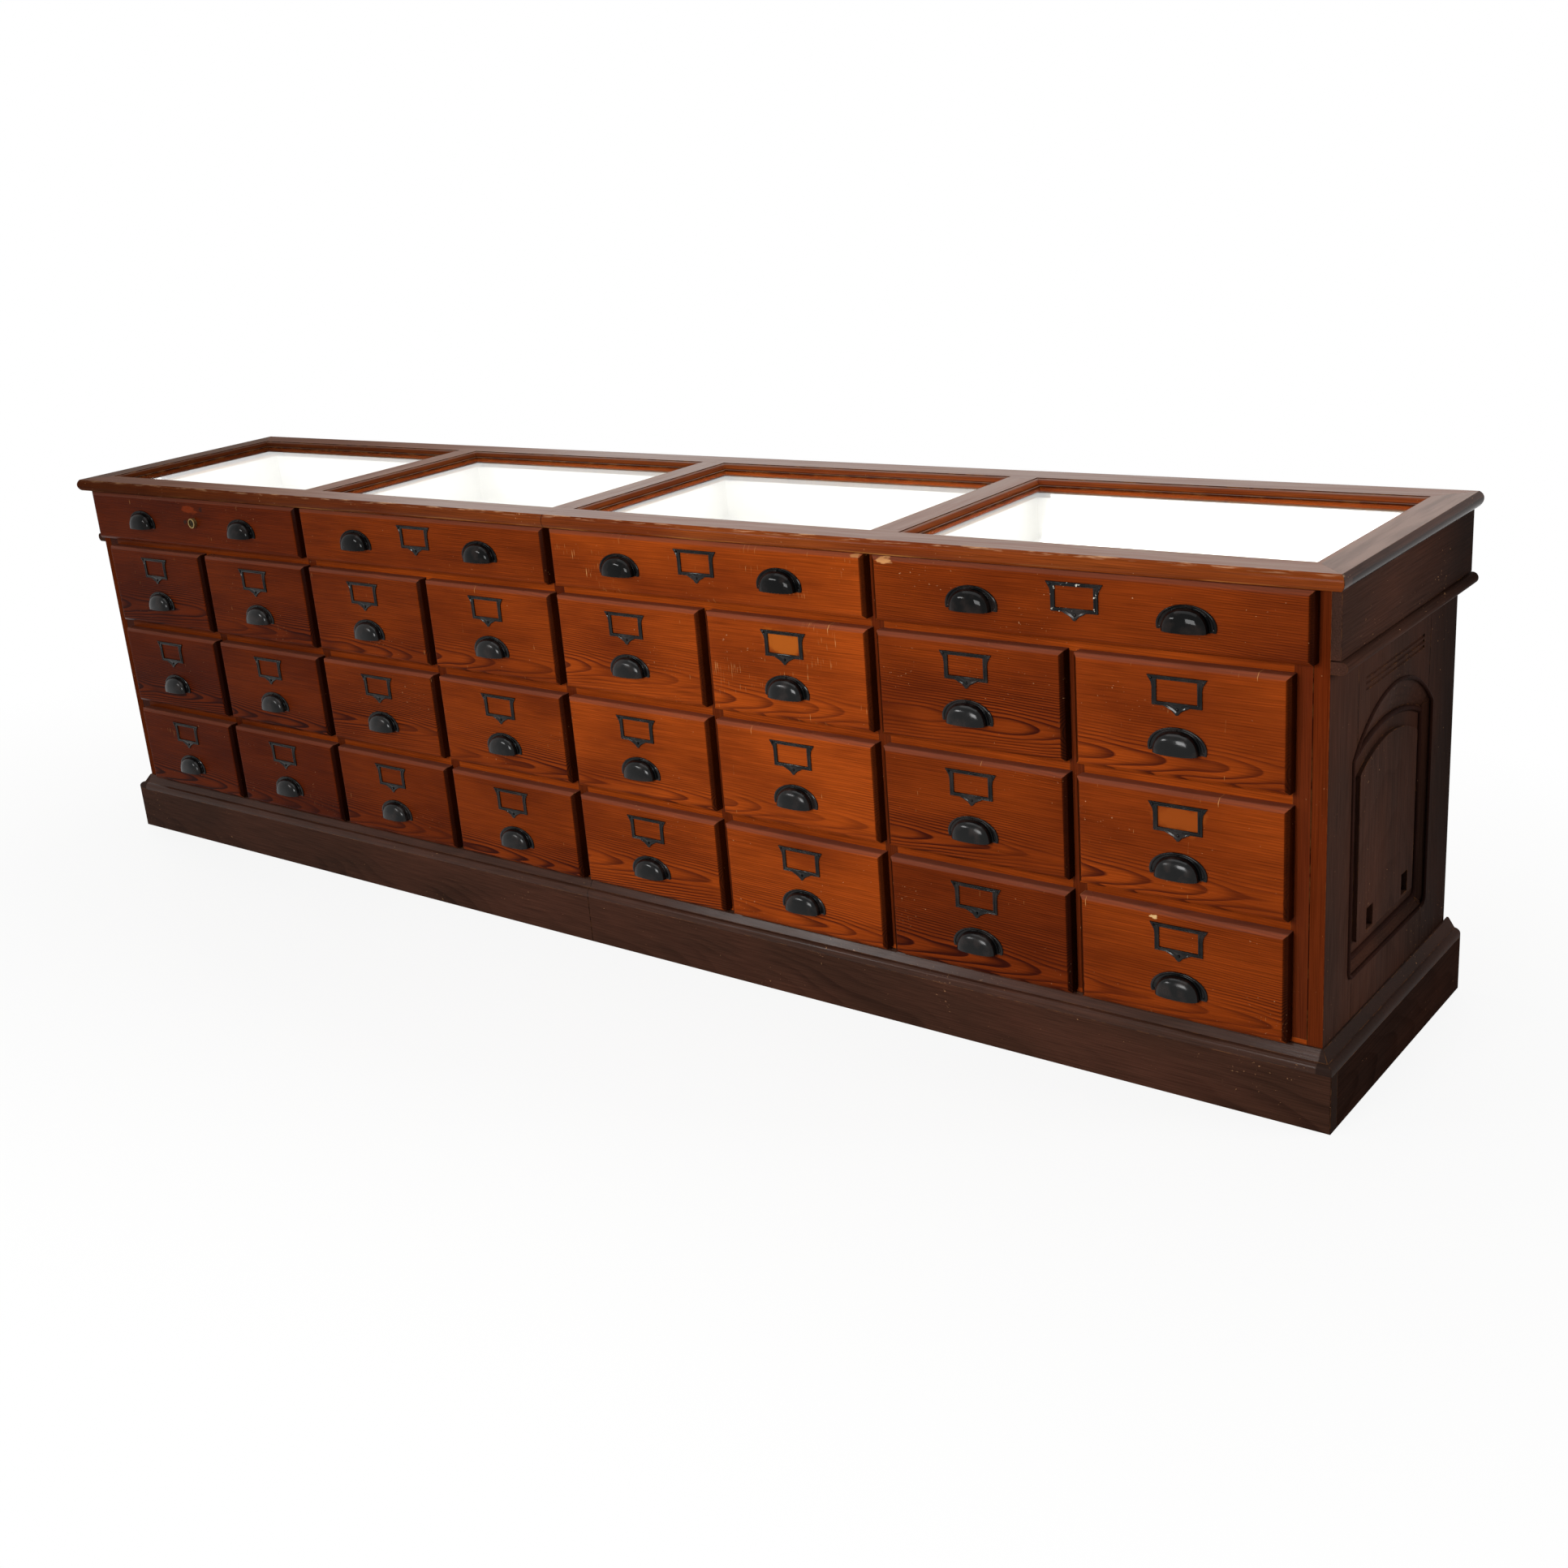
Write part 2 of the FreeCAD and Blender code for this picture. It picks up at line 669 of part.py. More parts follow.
frieze = box(
    "frieze", ("half_length", "half_length + frieze_thickness"), ("0", "carcass_depth + frieze_back_reach"),
    ("frieze_bottom", "carcass_height"),
)
right_end = {
    "end_frame": end_frame(),
    "end_panel": [end_panel()],
    "end_frieze": [frieze],
    "end_moulding": [end_moulding()],
}
for label, solids in right_end.items():
    node(f"{label}_right", solids)
    node(f"{label}_left", [mirror(solid) for solid in solids])

# Plinth, with its front in two lengths, and the moulding on top of it

corner_x = "half_length + plinth_reach"
plinth_rear = "carcass_depth + plinth_back_reach"
plinth_board = box("plinth_board", ("0", corner_x), ("-plinth_reach", "0"), ("0", "plinth_height"))
plinth_return = box("plinth_return", ("half_length", corner_x), ("0", plinth_rear), ("0", "plinth_height"))
node("plinth_front", [mirror(plinth_board), plinth_board])
node("plinth_ends", [mirror(plinth_return), plinth_return])


def moulding_profile(name, outwards, x, y):
    """A flat fillet, a round bead and a slope up to a narrow ledge."""
    profile = sketch(name, outwards, x, y, "plinth_height")
    reach, fillet, bead = read("plinth_reach"), read("moulding_fillet"), read("moulding_bead")
    ledge, height = read("moulding_ledge"), read("moulding_height")
    point = FreeCAD.Vector
    circle = Part.Circle(point(reach - bead, fillet, 0), UP, bead)
    profile.addGeometry(Part.LineSegment(point(0, 0, 0), point(reach, 0, 0)))
    profile.addGeometry(Part.LineSegment(point(reach, 0, 0), point(reach, fillet, 0)))
    profile.addGeometry(Part.ArcOfCircle(circle, 0, math.pi / 2))
    profile.addGeometry(Part.LineSegment(point(reach - bead, fillet + bead, 0), point(ledge, height, 0)))
    profile.addGeometry(Part.LineSegment(point(ledge, height, 0), point(0, height, 0)))
    profile.addGeometry(Part.LineSegment(point(0, height, 0), point(0, 0, 0)))
    sides = profile.GeometryCount
    for first in range(sides):
        profile.addConstraint(Sketcher.Constraint("Coincident", first, 2, (first + 1) % sides, 1))
    profile.addConstraint(Sketcher.Constraint("Coincident", 0, 1, -1, 1))
    profile.addConstraint(Sketcher.Constraint("Horizontal", 0))
    profile.addConstraint(Sketcher.Constraint("Vertical", 1))
    profile.addConstraint(Sketcher.Constraint("Horizontal", 2, 1, 2, 3))
    profile.addConstraint(Sketcher.Constraint("Vertical", 2, 2, 2, 3))
    profile.addConstraint(Sketcher.Constraint("Horizontal", 4))
    profile.addConstraint(Sketcher.Constraint("Vertical", 5))
    dimension(profile, "reach", "plinth_reach", "Distance", 0)
    dimension(profile, "fillet", "moulding_fillet", "Distance", 1)
    dimension(profile, "bead", "moulding_bead", "Radius", 2)
    dimension(profile, "ledge", "moulding_ledge", "Distance", 4)
    dimension(profile, "height", "moulding_height", "Distance", 5)
    return profile


front_outline = moulding_profile("moulding_front_outline", FORWARDS, "0", "0")
front_run = extrude("moulding_front_run", front_outline, RIGHT, corner_x)
end_outline = moulding_profile("moulding_end_outline", RIGHT, "half_length", plinth_rear)
end_run = extrude("moulding_end_run", end_outline, FORWARDS, f"{plinth_rear} + plinth_reach")
moulding_level = ("plinth_height", "moulding_top")
mitre = wedge(
    "moulding_mitre", ("-plinth_reach", "0"),
    ("0", corner_x), moulding_level, ("0", "half_length"), moulding_level,
)
mouldings = [common("moulding_front", front_run, mitre), cut("moulding_end", end_run, mitre)]
node("plinth_moulding", mouldings + [mirror(piece) for piece in mouldings])

# Glazed top: two frames that meet at the middle, with a bar across each

front_arris = "rail_flat - top_front_reach"
back_arris = "top_back - rail_flat"
end_arris = "half_top - rail_flat"
bar_x = "2 * col_pitch"
panes = {
    "inner": ("bar_flat / 2", f"{bar_x} - bar_flat / 2"),
    "outer": (f"{bar_x} + bar_flat / 2", end_arris),
}
pane_y = (front_arris, back_arris)
slab = ("carcass_height", "top_height")
cut_level = ("carcass_height - top_thickness", "top_height + top_thickness")


def inset(limits, amount):
    return f"{limits[0]} + ({amount})", f"{limits[1]} - ({amount})"


def pane_tool(name, x, y):
    """What is cut away for a pane: the light, a quarter-round edge around it and the rebate below."""
    mouth = box(f"{name}_mouth", x, y, ("lip_top", cut_level[1]))
    rounds = [
        cylinder(f"{name}_round_{side}", "x", "ovolo_radius", x, y=edge, z="lip_top")
        for side, edge in zip(("front", "back"), y)
    ]
    rounds += [
        cylinder(f"{name}_round_{side}", "y", "ovolo_radius", y, x=edge, z="lip_top")
        for side, edge in zip(("left", "right"), x)
    ]
    shaped = cut(f"{name}_ovolo", mouth, join(f"{name}_rounds", rounds))
    light = box(f"{name}_light", inset(x, "sight_width"), inset(y, "sight_width"), cut_level)
    rebate = box(
        f"{name}_rebate", inset(x, "rebate_inset"), inset(y, "rebate_inset"), (cut_level[0], "glass_top")
    )
    return join(f"{name}_tool", [shaped, light, rebate])


def nose_tool(name, axis, centre, across):
    """What is cut away to round one outer edge of the top, which runs along x or y."""
    other = "y" if axis == "x" else "x"
    limits = {axis: ("-2 * half_top", "2 * half_top"), other: across}
    block = box(f"{name}_block", limits["x"], limits["y"], cut_level)
    bar = cylinder(f"{name}_bar", axis, "nose_radius", limits[axis], z="top_middle", **{other: centre})
    return cut(f"{name}_tool", block, bar)


front_nose = "nose_radius - top_front_reach"
back_nose = "top_back - nose_radius"
end_nose = "half_top - nose_radius"
# Each rail is shaped past its corners, and its mitre then meets the next rail's shape
long_tool = join("long_tool", [
    pane_tool("inner", panes["inner"], pane_y),
    pane_tool("outer", (panes["outer"][0], "2 * half_top"), pane_y),
    nose_tool("front_nose", "x", front_nose, ("-2 * top_front_reach", front_nose)),
    nose_tool("back_nose", "x", back_nose, (back_nose, "top_back + top_back_reach")),
])
end_tool = join("end_tool", [
    pane_tool("end", panes["outer"], ("-half_top", "half_top")),
    nose_tool("end_nose", "y", end_nose, (end_nose, "half_top + top_end_reach")),
])
front_inner = f"{front_arris} + sight_width"
back_inner = f"{back_arris} - sight_width"
end_inner = f"{end_arris} - sight_width"
front_rail = wedge(
    "front_rail_board", ("-top_front_reach", front_inner), ("0", "half_top"), slab, ("0", end_inner), slab
)
back_rail = wedge("back_rail_board", (back_inner, "top_back"), ("0", end_inner), slab, ("0", "half_top"), slab)
end_block = box("end_rail_block", (end_inner, "half_top"), ("-top_front_reach", "top_back"), slab)
end_rail = cut("end_rail_board", end_block, join("end_rail_mitres", [front_rail, back_rail]))
bar_length = (front_inner, back_inner)
bar_width = about(bar_x, "(bar_flat + 2 * sight_width)")
top_boards = {
    "front_rail": front_rail,
    "back_rail": back_rail,
    "end_rail": end_rail,
    "cross_bar": box("cross_bar_board", bar_width, bar_length, slab),
    "meeting_bar": box("meeting_bar_board", ("0", "bar_flat / 2 + sight_width"), bar_length, slab),
}
right_half = {
    name: cut(f"top_{name}", board, end_tool if name == "end_rail" else long_tool)
    for name, board in top_boards.items()
}
left_half = {name: mirror(piece) for name, piece in right_half.items()}
# The lock's bolt rises into a mortise in the left front rail
mortise = box(
    "bolt_mortise", about(wide_centres[0], "(lock_bolt_width + 2 * lock_mortise_gap)"),
    ("lock_wall - lock_mortise_gap", "lock_case_depth - lock_wall + lock_mortise_gap"),
    (cut_level[0], "top_face_bottom + lock_case_top + lock_throw + lock_mortise_gap"),
)
left_half["front_rail"] = cut("top_front_rail_mortised", left_half["front_rail"], mortise)
for label, names in {
    "top_front_rails": ["front_rail"], "top_back_rails": ["back_rail"], "top_end_rails": ["end_rail"],
    "top_cross_bars": ["cross_bar", "meeting_bar"],
}.items():
    node(label, [half[name] for half in (left_half, right_half) for name in names])

glass = []
beads = []
for name, x in panes.items():
    rebate_x = inset(x, "rebate_inset")
    rebate_y = inset(pane_y, "rebate_inset")
    glass.append(box(
        f"{name}_pane", inset(rebate_x, "glass_gap"), inset(rebate_y, "glass_gap"), ("bead_top", "glass_top")
    ))
    level = ("carcass_height", "bead_top")
    side_y = inset(rebate_y, "glass_bite")
    beads += [
        box(f"{name}_bead_front", rebate_x, (rebate_y[0], side_y[0]), level),
        box(f"{name}_bead_back", rebate_x, (side_y[1], rebate_y[1]), level),
        box(f"{name}_bead_left", (rebate_x[0], f"{rebate_x[0]} + glass_bite"), side_y, level),
        box(f"{name}_bead_right", (f"{rebate_x[1]} - glass_bite", rebate_x[1]), side_y, level),
    ]
node("glass_panes", glass + [mirror(pane) for pane in glass])
node("glazing_beads", beads + [mirror(bead) for bead in beads])

# Check every object, then write one file for each sub-part

doc.recompute()
for item in doc.Objects:
    if "Invalid" in item.State or "Error" in item.State:
        raise RuntimeError(f"{item.Name} failed: {item.State}")
for item in nodes:
    if item.Shape.isNull() or not item.Shape.isValid() or not item.Shape.Solids:
        raise RuntimeError(f"{item.Label} has no valid solid")
os.makedirs("parts", exist_ok=True)
for item in nodes:
    item.Shape.exportStep(f"parts/{item.Label}.step")
print(len(nodes), "sub-parts,", sum(len(item.Shape.Solids) for item in nodes), "solids")
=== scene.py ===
"""Looks of a long haberdashery cabinet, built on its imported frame.

Lengths are metres in the frame's own axes: x runs along the cabinet, the drawers open towards -y
and the floor is z = 0.
"""

import math

import bpy
import numpy as np
from bpy.props import FloatProperty, FloatVectorProperty, PointerProperty
from mathutils import Matrix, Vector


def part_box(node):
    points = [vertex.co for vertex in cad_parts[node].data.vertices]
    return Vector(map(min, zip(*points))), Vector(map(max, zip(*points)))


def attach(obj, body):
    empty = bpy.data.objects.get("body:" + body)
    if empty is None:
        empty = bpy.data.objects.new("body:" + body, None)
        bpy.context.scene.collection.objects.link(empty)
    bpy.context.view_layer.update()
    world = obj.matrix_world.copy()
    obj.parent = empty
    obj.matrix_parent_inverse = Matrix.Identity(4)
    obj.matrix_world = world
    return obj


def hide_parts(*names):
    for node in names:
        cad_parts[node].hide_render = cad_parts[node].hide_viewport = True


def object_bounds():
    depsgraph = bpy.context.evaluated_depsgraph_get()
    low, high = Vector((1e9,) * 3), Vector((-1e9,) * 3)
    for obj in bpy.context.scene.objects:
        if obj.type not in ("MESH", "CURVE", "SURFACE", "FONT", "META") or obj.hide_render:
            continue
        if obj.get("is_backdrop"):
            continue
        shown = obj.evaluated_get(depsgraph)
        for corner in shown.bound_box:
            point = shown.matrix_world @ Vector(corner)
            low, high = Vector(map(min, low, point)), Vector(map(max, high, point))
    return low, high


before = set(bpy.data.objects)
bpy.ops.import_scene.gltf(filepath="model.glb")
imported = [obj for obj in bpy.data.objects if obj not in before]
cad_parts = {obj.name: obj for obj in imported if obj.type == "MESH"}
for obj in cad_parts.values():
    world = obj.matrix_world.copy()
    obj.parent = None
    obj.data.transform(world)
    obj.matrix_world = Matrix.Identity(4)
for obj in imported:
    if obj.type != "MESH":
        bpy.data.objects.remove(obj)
cad_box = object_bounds()

bl_info = {
    "name": "Haberdashery cabinet",
    "version": (1, 0, 0),
    "blender": (4, 5, 0),
    "location": "View3D > Sidebar > Cabinet",
    "description": "Builds the looks of a long shop cabinet of small drawers",
    "category": "Object",
}

COLUMNS = 8
ROWS = 3
BACK_BOARDS = 8
WIDE_DRAWERS = 4
X, Y, Z = 0, 1, 2
ARRIS_ANGLE = math.radians(35)
RING_PITCH = 0.0036

# Where the front of the top starts to turn into its nose, and the nose's tip
NOSE_TURN, NOSE_TIP = -0.268, -0.274
# Steps in the top behind this place are those round the panes
STEPS_FRONT = -0.25
# How deep the shellac of a stile's front edge goes
STILE_EDGE = 0.0008
# Width of the stained part of the top's end rails
STAINED_RAIL = 0.055
# Over what length a painted shade darkens the plinth at an end
END_STRETCH = 0.002

# Drawers that stand out: with a lock, with specks of paint, and scratched
LOCKED = "drawer_top_1"
SPECKED = "drawer_top_4"
KNOCKED = ("drawer_row_1_col_6", "drawer_top_3")

# How dark each column of drawers is, from the far end to the near one, and what the lowest row adds: partly
# the boards' own colour, partly painted shade of the light falling off towards the far end
COLUMN_TONE_AND_FALLOFF_SHADE = (1.0, 0.92, 0.64, 0.44, 0.08, 0.0, 0.62, 0.30)
LOWEST_ROW_SHADE = 0.14

# Bare spots on the fronts: middle and level, reach and rise, colour
CHIPS = (
    ((0.756, 0.833), (0.019, 0.006), "c08a58"),
    ((0.700, 0.836), (0.012, 0.004), "b47c4c"),
    ((1.222, 0.302), (0.008, 0.004), "d8b27a"),
    ((0.5415, 0.671), (0.056, 0.030), "a05319"),
    ((1.2635, 0.471), (0.056, 0.030), "8c4214"),
    ((-1.097, 0.817), (0.032, 0.012), "742b0d"),
    ((-1.116, 0.788), (0.010, 0.006), "2c1c16"),
    ((-1.052, 0.819), (0.008, 0.007), "2c1610"),
)

# Colours of small marks
# Dust, with a painted sheen where the upper edges catch the light
DUST_AND_SHEEN = "7d4a3a"
FLECK = "b98a62"
SCRATCH = "c79258"
# Chips with painted glints along the nose's upper edge
NOSE_FLECK_AND_GLINT = "cfa27a"
NOSE_STREAK = "bd8244"
WHITE_PAINT = "c9c6ba"
CLEAR_GLASS = "fbfdfc"


def linear(hex_colour):
    """Linear red, green and blue of an sRGB colour written as six hex digits."""
    part = np.array([int(hex_colour[start:start + 2], 16) for start in (0, 2, 4)]) / 255
    return tuple(np.where(part <= 0.04045, part / 12.92, ((part + 0.055) / 1.055) ** 2.4).tolist())


def length(name, description, default):
    """A length that a user may change."""
    return FloatProperty(name=name, description=description, default=default, min=0.0, unit="LENGTH")


def power(name, description, default):
    """A lamp's power that a user may change."""
    return FloatProperty(name=name, description=description, default=default, min=0.0, unit="POWER")


def colour(name, description, hex_colour):
    """A colour that a user may change."""
    return FloatVectorProperty(
        name=name, description=description, default=linear(hex_colour), size=3, min=0.0, max=1.0,
        subtype="COLOR",
    )


# Sizes and colours

class DrawerSizes(bpy.types.PropertyGroup):
    """Sizes of the drawers' fronts and boxes."""

    face_thickness: length("Front thickness", "How far a drawer's front stands out of the cabinet", 0.024)
    chamfer_width: length("Chamfer width", "Width of the chamfer round a front, seen from ahead", 0.007)
    chamfer_depth: length("Chamfer depth", "Depth of the chamfer round a front", 0.006)
    arris: length("Arris", "Radius to which handling has worn the edges", 0.0014)
    column_pitch: length("Column pitch", "From the middle of one small drawer to the next", 0.361)
    box_length: length("Box length", "Length of a drawer's box behind its front", 0.5)
    side_thickness: length("Side thickness", "Thickness of a box's sides and back", 0.012)
    bottom_thickness: length("Bottom thickness", "Thickness of a box's bottom", 0.008)
    bottom_rise: length("Bottom rise", "From the sides' lower edge to the bottom board", 0.008)
    back_drop: length("Back drop", "How much lower a box's back is than its sides", 0.012)
    face_lap: length("Front lap", "How far a front reaches below its box", 0.004)
    small_box_width: length("Small box width", "Width of a small drawer's box", 0.333)
    small_box_height: length("Small box height", "Height of a small drawer's sides", 0.160)
    wide_box_width: length("Wide box width", "Width of a wide drawer's box", 0.694)
    wide_box_height: length("Wide box height", "Height of a wide drawer's sides", 0.096)
    paper_thickness: length("Lining thickness", "Thickness of the paper that lines a wide drawer", 0.0004)
    paper_height: length("Lining height", "How far the paper rises inside a wide drawer", 0.076)


class FittingSizes(bpy.types.PropertyGroup):
    """Sizes of the cup pulls, the label holders and their screws."""

    cup_width: length("Cup width", "Width of a pull's cup", 0.074)
    cup_height: length("Cup height", "Height of a pull's cup", 0.0345)
    cup_depth: length("Cup depth", "How far a pull's cup stands out", 0.021)
    cup_wall: length("Cup wall", "Thickness of a pull's casting", 0.0025)
    flange_width: length("Flange width", "Width of a pull's flange", 0.095)
    flange_centre: length("Flange centre", "Height of the flange's widest level above the lip", 0.007)
    flange_rise: length("Flange rise", "From that level to the flange's top", 0.032)
    flange_foot: length("Flange foot", "Height of the flange's ends above the lip", 0.0)
    flange_thickness: length("Flange thickness", "Thickness of a pull's flange", 0.0025)
    small_pull_height: length("Small pull height", "From a small front's foot to its pull's lip", 0.044)
    wide_pull_height: length("Wide pull height", "From a wide front's foot to its pulls' lips", 0.036)
    pull_spacing: length("Pull spacing", "Between the two pulls of a wide drawer", 0.361)
    label_width: length("Label holder width", "Width of a label holder below its ears", 0.080)
    label_height: length("Label holder height", "Height of a label holder's frame", 0.046)
    label_thickness: length("Label holder thickness", "Thickness of a label holder's casting", 0.003)
    label_ear: length("Ear reach", "How far an ear flares out at the top", 0.008)
    label_pendant: length("Pendant drop", "How far the pendant hangs below the frame", 0.013)
    small_label_height: length("Small label height", "From a small front's foot to its label holder", 0.115)
    wide_label_height: length("Wide label height", "From a wide front's foot to its label holder", 0.047)
    screw_radius: length("Screw head", "Radius of a screw's head", 0.0024)


class EndSizes(bpy.types.PropertyGroup):
    """Sizes of the beads in the panelled ends."""

    bevel_depth: length("Bevel depth", "How far the panel lies behind the frame's face", 0.012)
    arch_rise: length("Arch rise", "How far the opening's head rises above its springs", 0.0315)
    bevel_width: length("Bevel width", "Width of the bevel at the opening's sides and foot", 0.015)
    head_bevel: length("Head bevel", "Width of the bevel at the opening's crown", 0.051)
    head_rise: length("Head rise", "How far the bevel's outer edge rises above its springs", 0.075)
    bead_radius: length("Bead radius", "Radius of the bead round the panel", 0.005)


class FinishColours(bpy.types.PropertyGroup):
    """Colours of the finishes."""

    shellac: colour("Shellacked pine", "Soft early wood under old shellac", "984110")
    shellac_late: colour("Shellacked late wood", "Dark lines of late wood under old shellac", "42150a")
    shellac_frame: colour("Darker frame", "Partitions and stiles, darker than the rails", "5c250d")
    shellac_deep: colour("Darkened shellac", "Where the shellac has gathered and darkened", "5c2008")
    stain: colour("Stained pine", "Dark stain on the plinth", "3a251c")
    stain_end: colour("Stained end", "Dark stain on the panelled ends", "3c2922")
    stain_late: colour("Stained late wood", "Late wood under the dark stain", "22140f")
    stain_deep: colour("Worn stain", "Stain rubbed back to brown", "4c2e23")
    top: colour("Top pine", "Pine of the glazed top", "7c3a14")
    top_late: colour("Top late wood", "Late wood of the glazed top", "4a1f0c")
    # Grey-brown of wear together with a painted sheen of the light that the top mirrors
    top_worn_and_sheen: colour("Worn top", "Grey-brown where hands and goods have worn the top", "8e7264")
    bare: colour("Bare pine", "Unfinished pine inside the cabinet", "b08656")
    bare_late: colour("Bare late wood", "Late wood of unfinished pine", "8a5f36")
    rubbed: colour("Rubbed edge", "Pale wood showing through at rubbed edges", "b5763e")
    iron: colour("Black iron", "Black japan on cast iron", "060606")
    iron_worn: colour("Worn iron", "Brown-grey iron where the japan has worn", "1c1614")
    brass: colour("Old brass", "Tarnished brass", "c2a468")
    dark_brass: colour("Dark brass", "Brass blackened round the keyhole", "463a24")
    paper: colour("Lining paper", "White paper inside the wide drawers", "f4f2ec")
    floor: colour("Floor", "Pale studio floor", "cfcecb")


class StageSettings(bpy.types.PropertyGroup):
    """Light and view."""

    key: power("Key lamp", "Power of the large lamp ahead", 50.0)
    top: power("Top lamp", "Power of the lamp above", 42.0)
    ends: power("End lamps", "Power of the lamp beside each end", 56.0)
    back: power("Back lamp", "Power of the lamp behind", 70.0)
    side: power("Side lamp", "Power of the weak lamp that edges the metal with light", 26.0)
    ambient: FloatProperty(
        name="Room light", description="Strength of the even light of the room", default=0.10, min=0.0,
    )
    lens: FloatProperty(
        name="Lens", description="Focal length on a sensor 36 mm wide", default=42.949, min=1.0,
        unit="CAMERA",
    )


# Surfaces, each a grid of points worked out as whole arrays

class Skin:
    """A closed surface: points, four-sided faces and flat caps, turned so that they face outwards."""

    def __init__(self, rows, ring=False):
        """Faces between neighbours on a grid whose columns close round; its first and last rows are
        capped, or meet each other where the grid is a ring."""
        count, columns = rows.shape[:2]
        index = np.arange(count * columns).reshape(count, columns)
        if ring:
            index = np.vstack([index, index[:1]])
        beside = np.roll(index, -1, axis=1)
        quads = np.stack([index[:-1], beside[:-1], beside[1:], index[1:]], axis=-1).reshape(-1, 4)
        caps = [] if ring else [index[0, ::-1], index[-1]]
        self.points = rows.reshape(-1, 3)
        turned = self.volume(quads, caps) < 0
        self.quads = quads[:, ::-1] if turned else quads
        self.caps = [cap[::-1] for cap in caps] if turned else caps
        self.grain = np.zeros_like(self.points)
        self.tone = self.worn = 0.0

    def volume(self, quads, caps):
        """Sum of the tetrahedra between the origin and each face's triangles."""
        corner = [self.points[quads[:, place]] for place in range(4)]
        total = np.einsum("ij,ij->", corner[0], np.cross(corner[1], corner[2]))
        total += np.einsum("ij,ij->", corner[0], np.cross(corner[2], corner[3]))
        for cap in caps:
            around = self.points[cap]
            total += np.einsum("j,ij->", around[0], np.cross(around[1:-1], around[2:]))
        return total

    def along(self, axis, pith, tone=0.0, worn=0.0):
        """Grain coordinates: along the board, across it and through it, from the tree's heart."""
        across, through = [other for other in (Z, X, Y) if other != axis]
        self.grain = self.points[:, [axis, across, through]] - np.asarray(pith)
        self.tone, self.worn = tone, worn
        return self


def softened(corners, size, steps=4):
    """A line through corners, each inner one replaced by a parabola that starts and ends a size away."""
    corners = np.asarray(corners, float)
    blend = np.linspace(0, 1, steps)[:, None]
    line = [corners[:1]]
    for before, corner, after in zip(corners[:-2], corners[1:-1], corners[2:]):
        start = corner + (before - corner) * min(0.45, size / np.linalg.norm(before - corner))
        end = corner + (after - corner) * min(0.45, size / np.linalg.norm(after - corner))
        line.append((1 - blend) ** 2 * start + 2 * blend * (1 - blend) * corner + blend ** 2 * end)
    return np.vstack(line + [corners[-1:]])


def rectangle_loops(low, high, inset, radius, turn=4):
    """Rectangles with round corners, one for each inset: the sides move in by it, and a quarter circle
    of the radius goes round each corner."""
    low, high = np.asarray(low, float), np.asarray(high, float)
    angle = np.radians(np.arange(4)[:, None] * 90 + np.linspace(0, 90, turn))
    signs = np.array([[1, 1], [-1, 1], [-1, -1], [1, -1]])
    reach = (high - low) / 2 - (inset + radius)[:, None]
    centre = (low + high) / 2 + signs * reach[:, None, :]
    curve = radius[:, None, None, None] * np.stack([np.cos(angle), np.sin(angle)], axis=-1)
    return (centre[:, :, None, :] + curve).reshape(len(inset), -1, 2)


def carried(low, high, axis, profile, arris):
    """A rectangle carried along an axis: each step of the profile gives a place and how far the sides
    have moved in there; the corners are rounded to the arris."""
    profile = np.asarray(profile, float)
    sides = [side for side in (X, Y, Z) if side != axis]
    radius = np.maximum(arris - profile[:, 1], arris / 10)
    loops = rectangle_loops(np.take(low, sides), np.take(high, sides), profile[:, 1], radius)
    rows = np.empty(loops.shape[:2] + (3,))
    rows[..., axis] = profile[:, :1]
    rows[..., sides] = loops
    return Skin(rows)


def board(low, high, axis, arris):
    """A board with worn arrises: a rectangle carried along its grain and drawn in at both ends."""
    corners = [(low[axis], arris), (low[axis], 0), (high[axis], 0), (high[axis], arris)]
    return carried(low, high, axis, softened(corners, arris), arris)


def drawer_slab(low, high, sizes):
    """A drawer's front: an upright rectangle carried forwards, whose sides lean in over the chamfer."""
    seam = low[Y] + sizes.chamfer_depth
    corners = [
        (high[Y], 0), (seam, 0), (low[Y], sizes.chamfer_width), (low[Y], 2 * sizes.chamfer_width),
    ]
    return carried(low, high, Y, softened(corners, sizes.arris), sizes.arris)


def cup_shell(centre, sizes):
    """Half a hollow cup: sections from the wall over the dome to the lip and back inside, each shrunk by
    the cosine of its angle to the side, with powers below one that fill the shoulders out."""
    plan, outline, section_power = 0.52, 0.86, 0.70
    side = np.radians(np.linspace(-89.8, 89.8, 29))[:, None]
    rise = np.radians(np.linspace(0, 90, 15))
    section = np.concatenate([rise, rise[::-1]])
    trim = np.repeat([0.0, sizes.cup_wall], len(rise))
    rows = np.empty((side.size, section.size, 3))
    forwards = np.cos(side) ** plan * np.clip(np.sin(section), 0, 1) ** section_power
    upwards = np.cos(side) ** outline * np.clip(np.cos(section), 0, 1) ** section_power
    rows[..., X] = (sizes.cup_width / 2 - trim) * np.sign(side) * np.abs(np.sin(side)) ** outline
    rows[..., Y] = -(sizes.cup_depth - trim) * forwards
    rows[..., Z] = (sizes.cup_height - trim) * upwards
    return Skin(rows + centre)


def plate(inner, outer, section, thickness, centre, ring=False):
    """A cast plate: a section carried along two outlines, each of its steps a share of the way from the
    inner outline to the outer one and a height in thicknesses."""
    share, height = np.transpose(section)
    flat = inner[:, None] * (1 - share[:, None]) + outer[:, None] * share[:, None]
    rows = np.empty(flat.shape[:2] + (3,))
    rows[..., X] = flat[..., 0]
    rows[..., Y] = -height * thickness
    rows[..., Z] = flat[..., 1]
    return Skin(rows + centre, ring)


def half_ellipse(foot, half, level, rise):
    """An arch: cosines and sines of an angle that runs from one foot to the other over the top."""
    angle = foot + (math.pi - 2 * foot) * np.linspace(0, 1, 33)
    return np.stack([half * np.cos(angle), level + rise * np.sin(angle)], axis=-1)


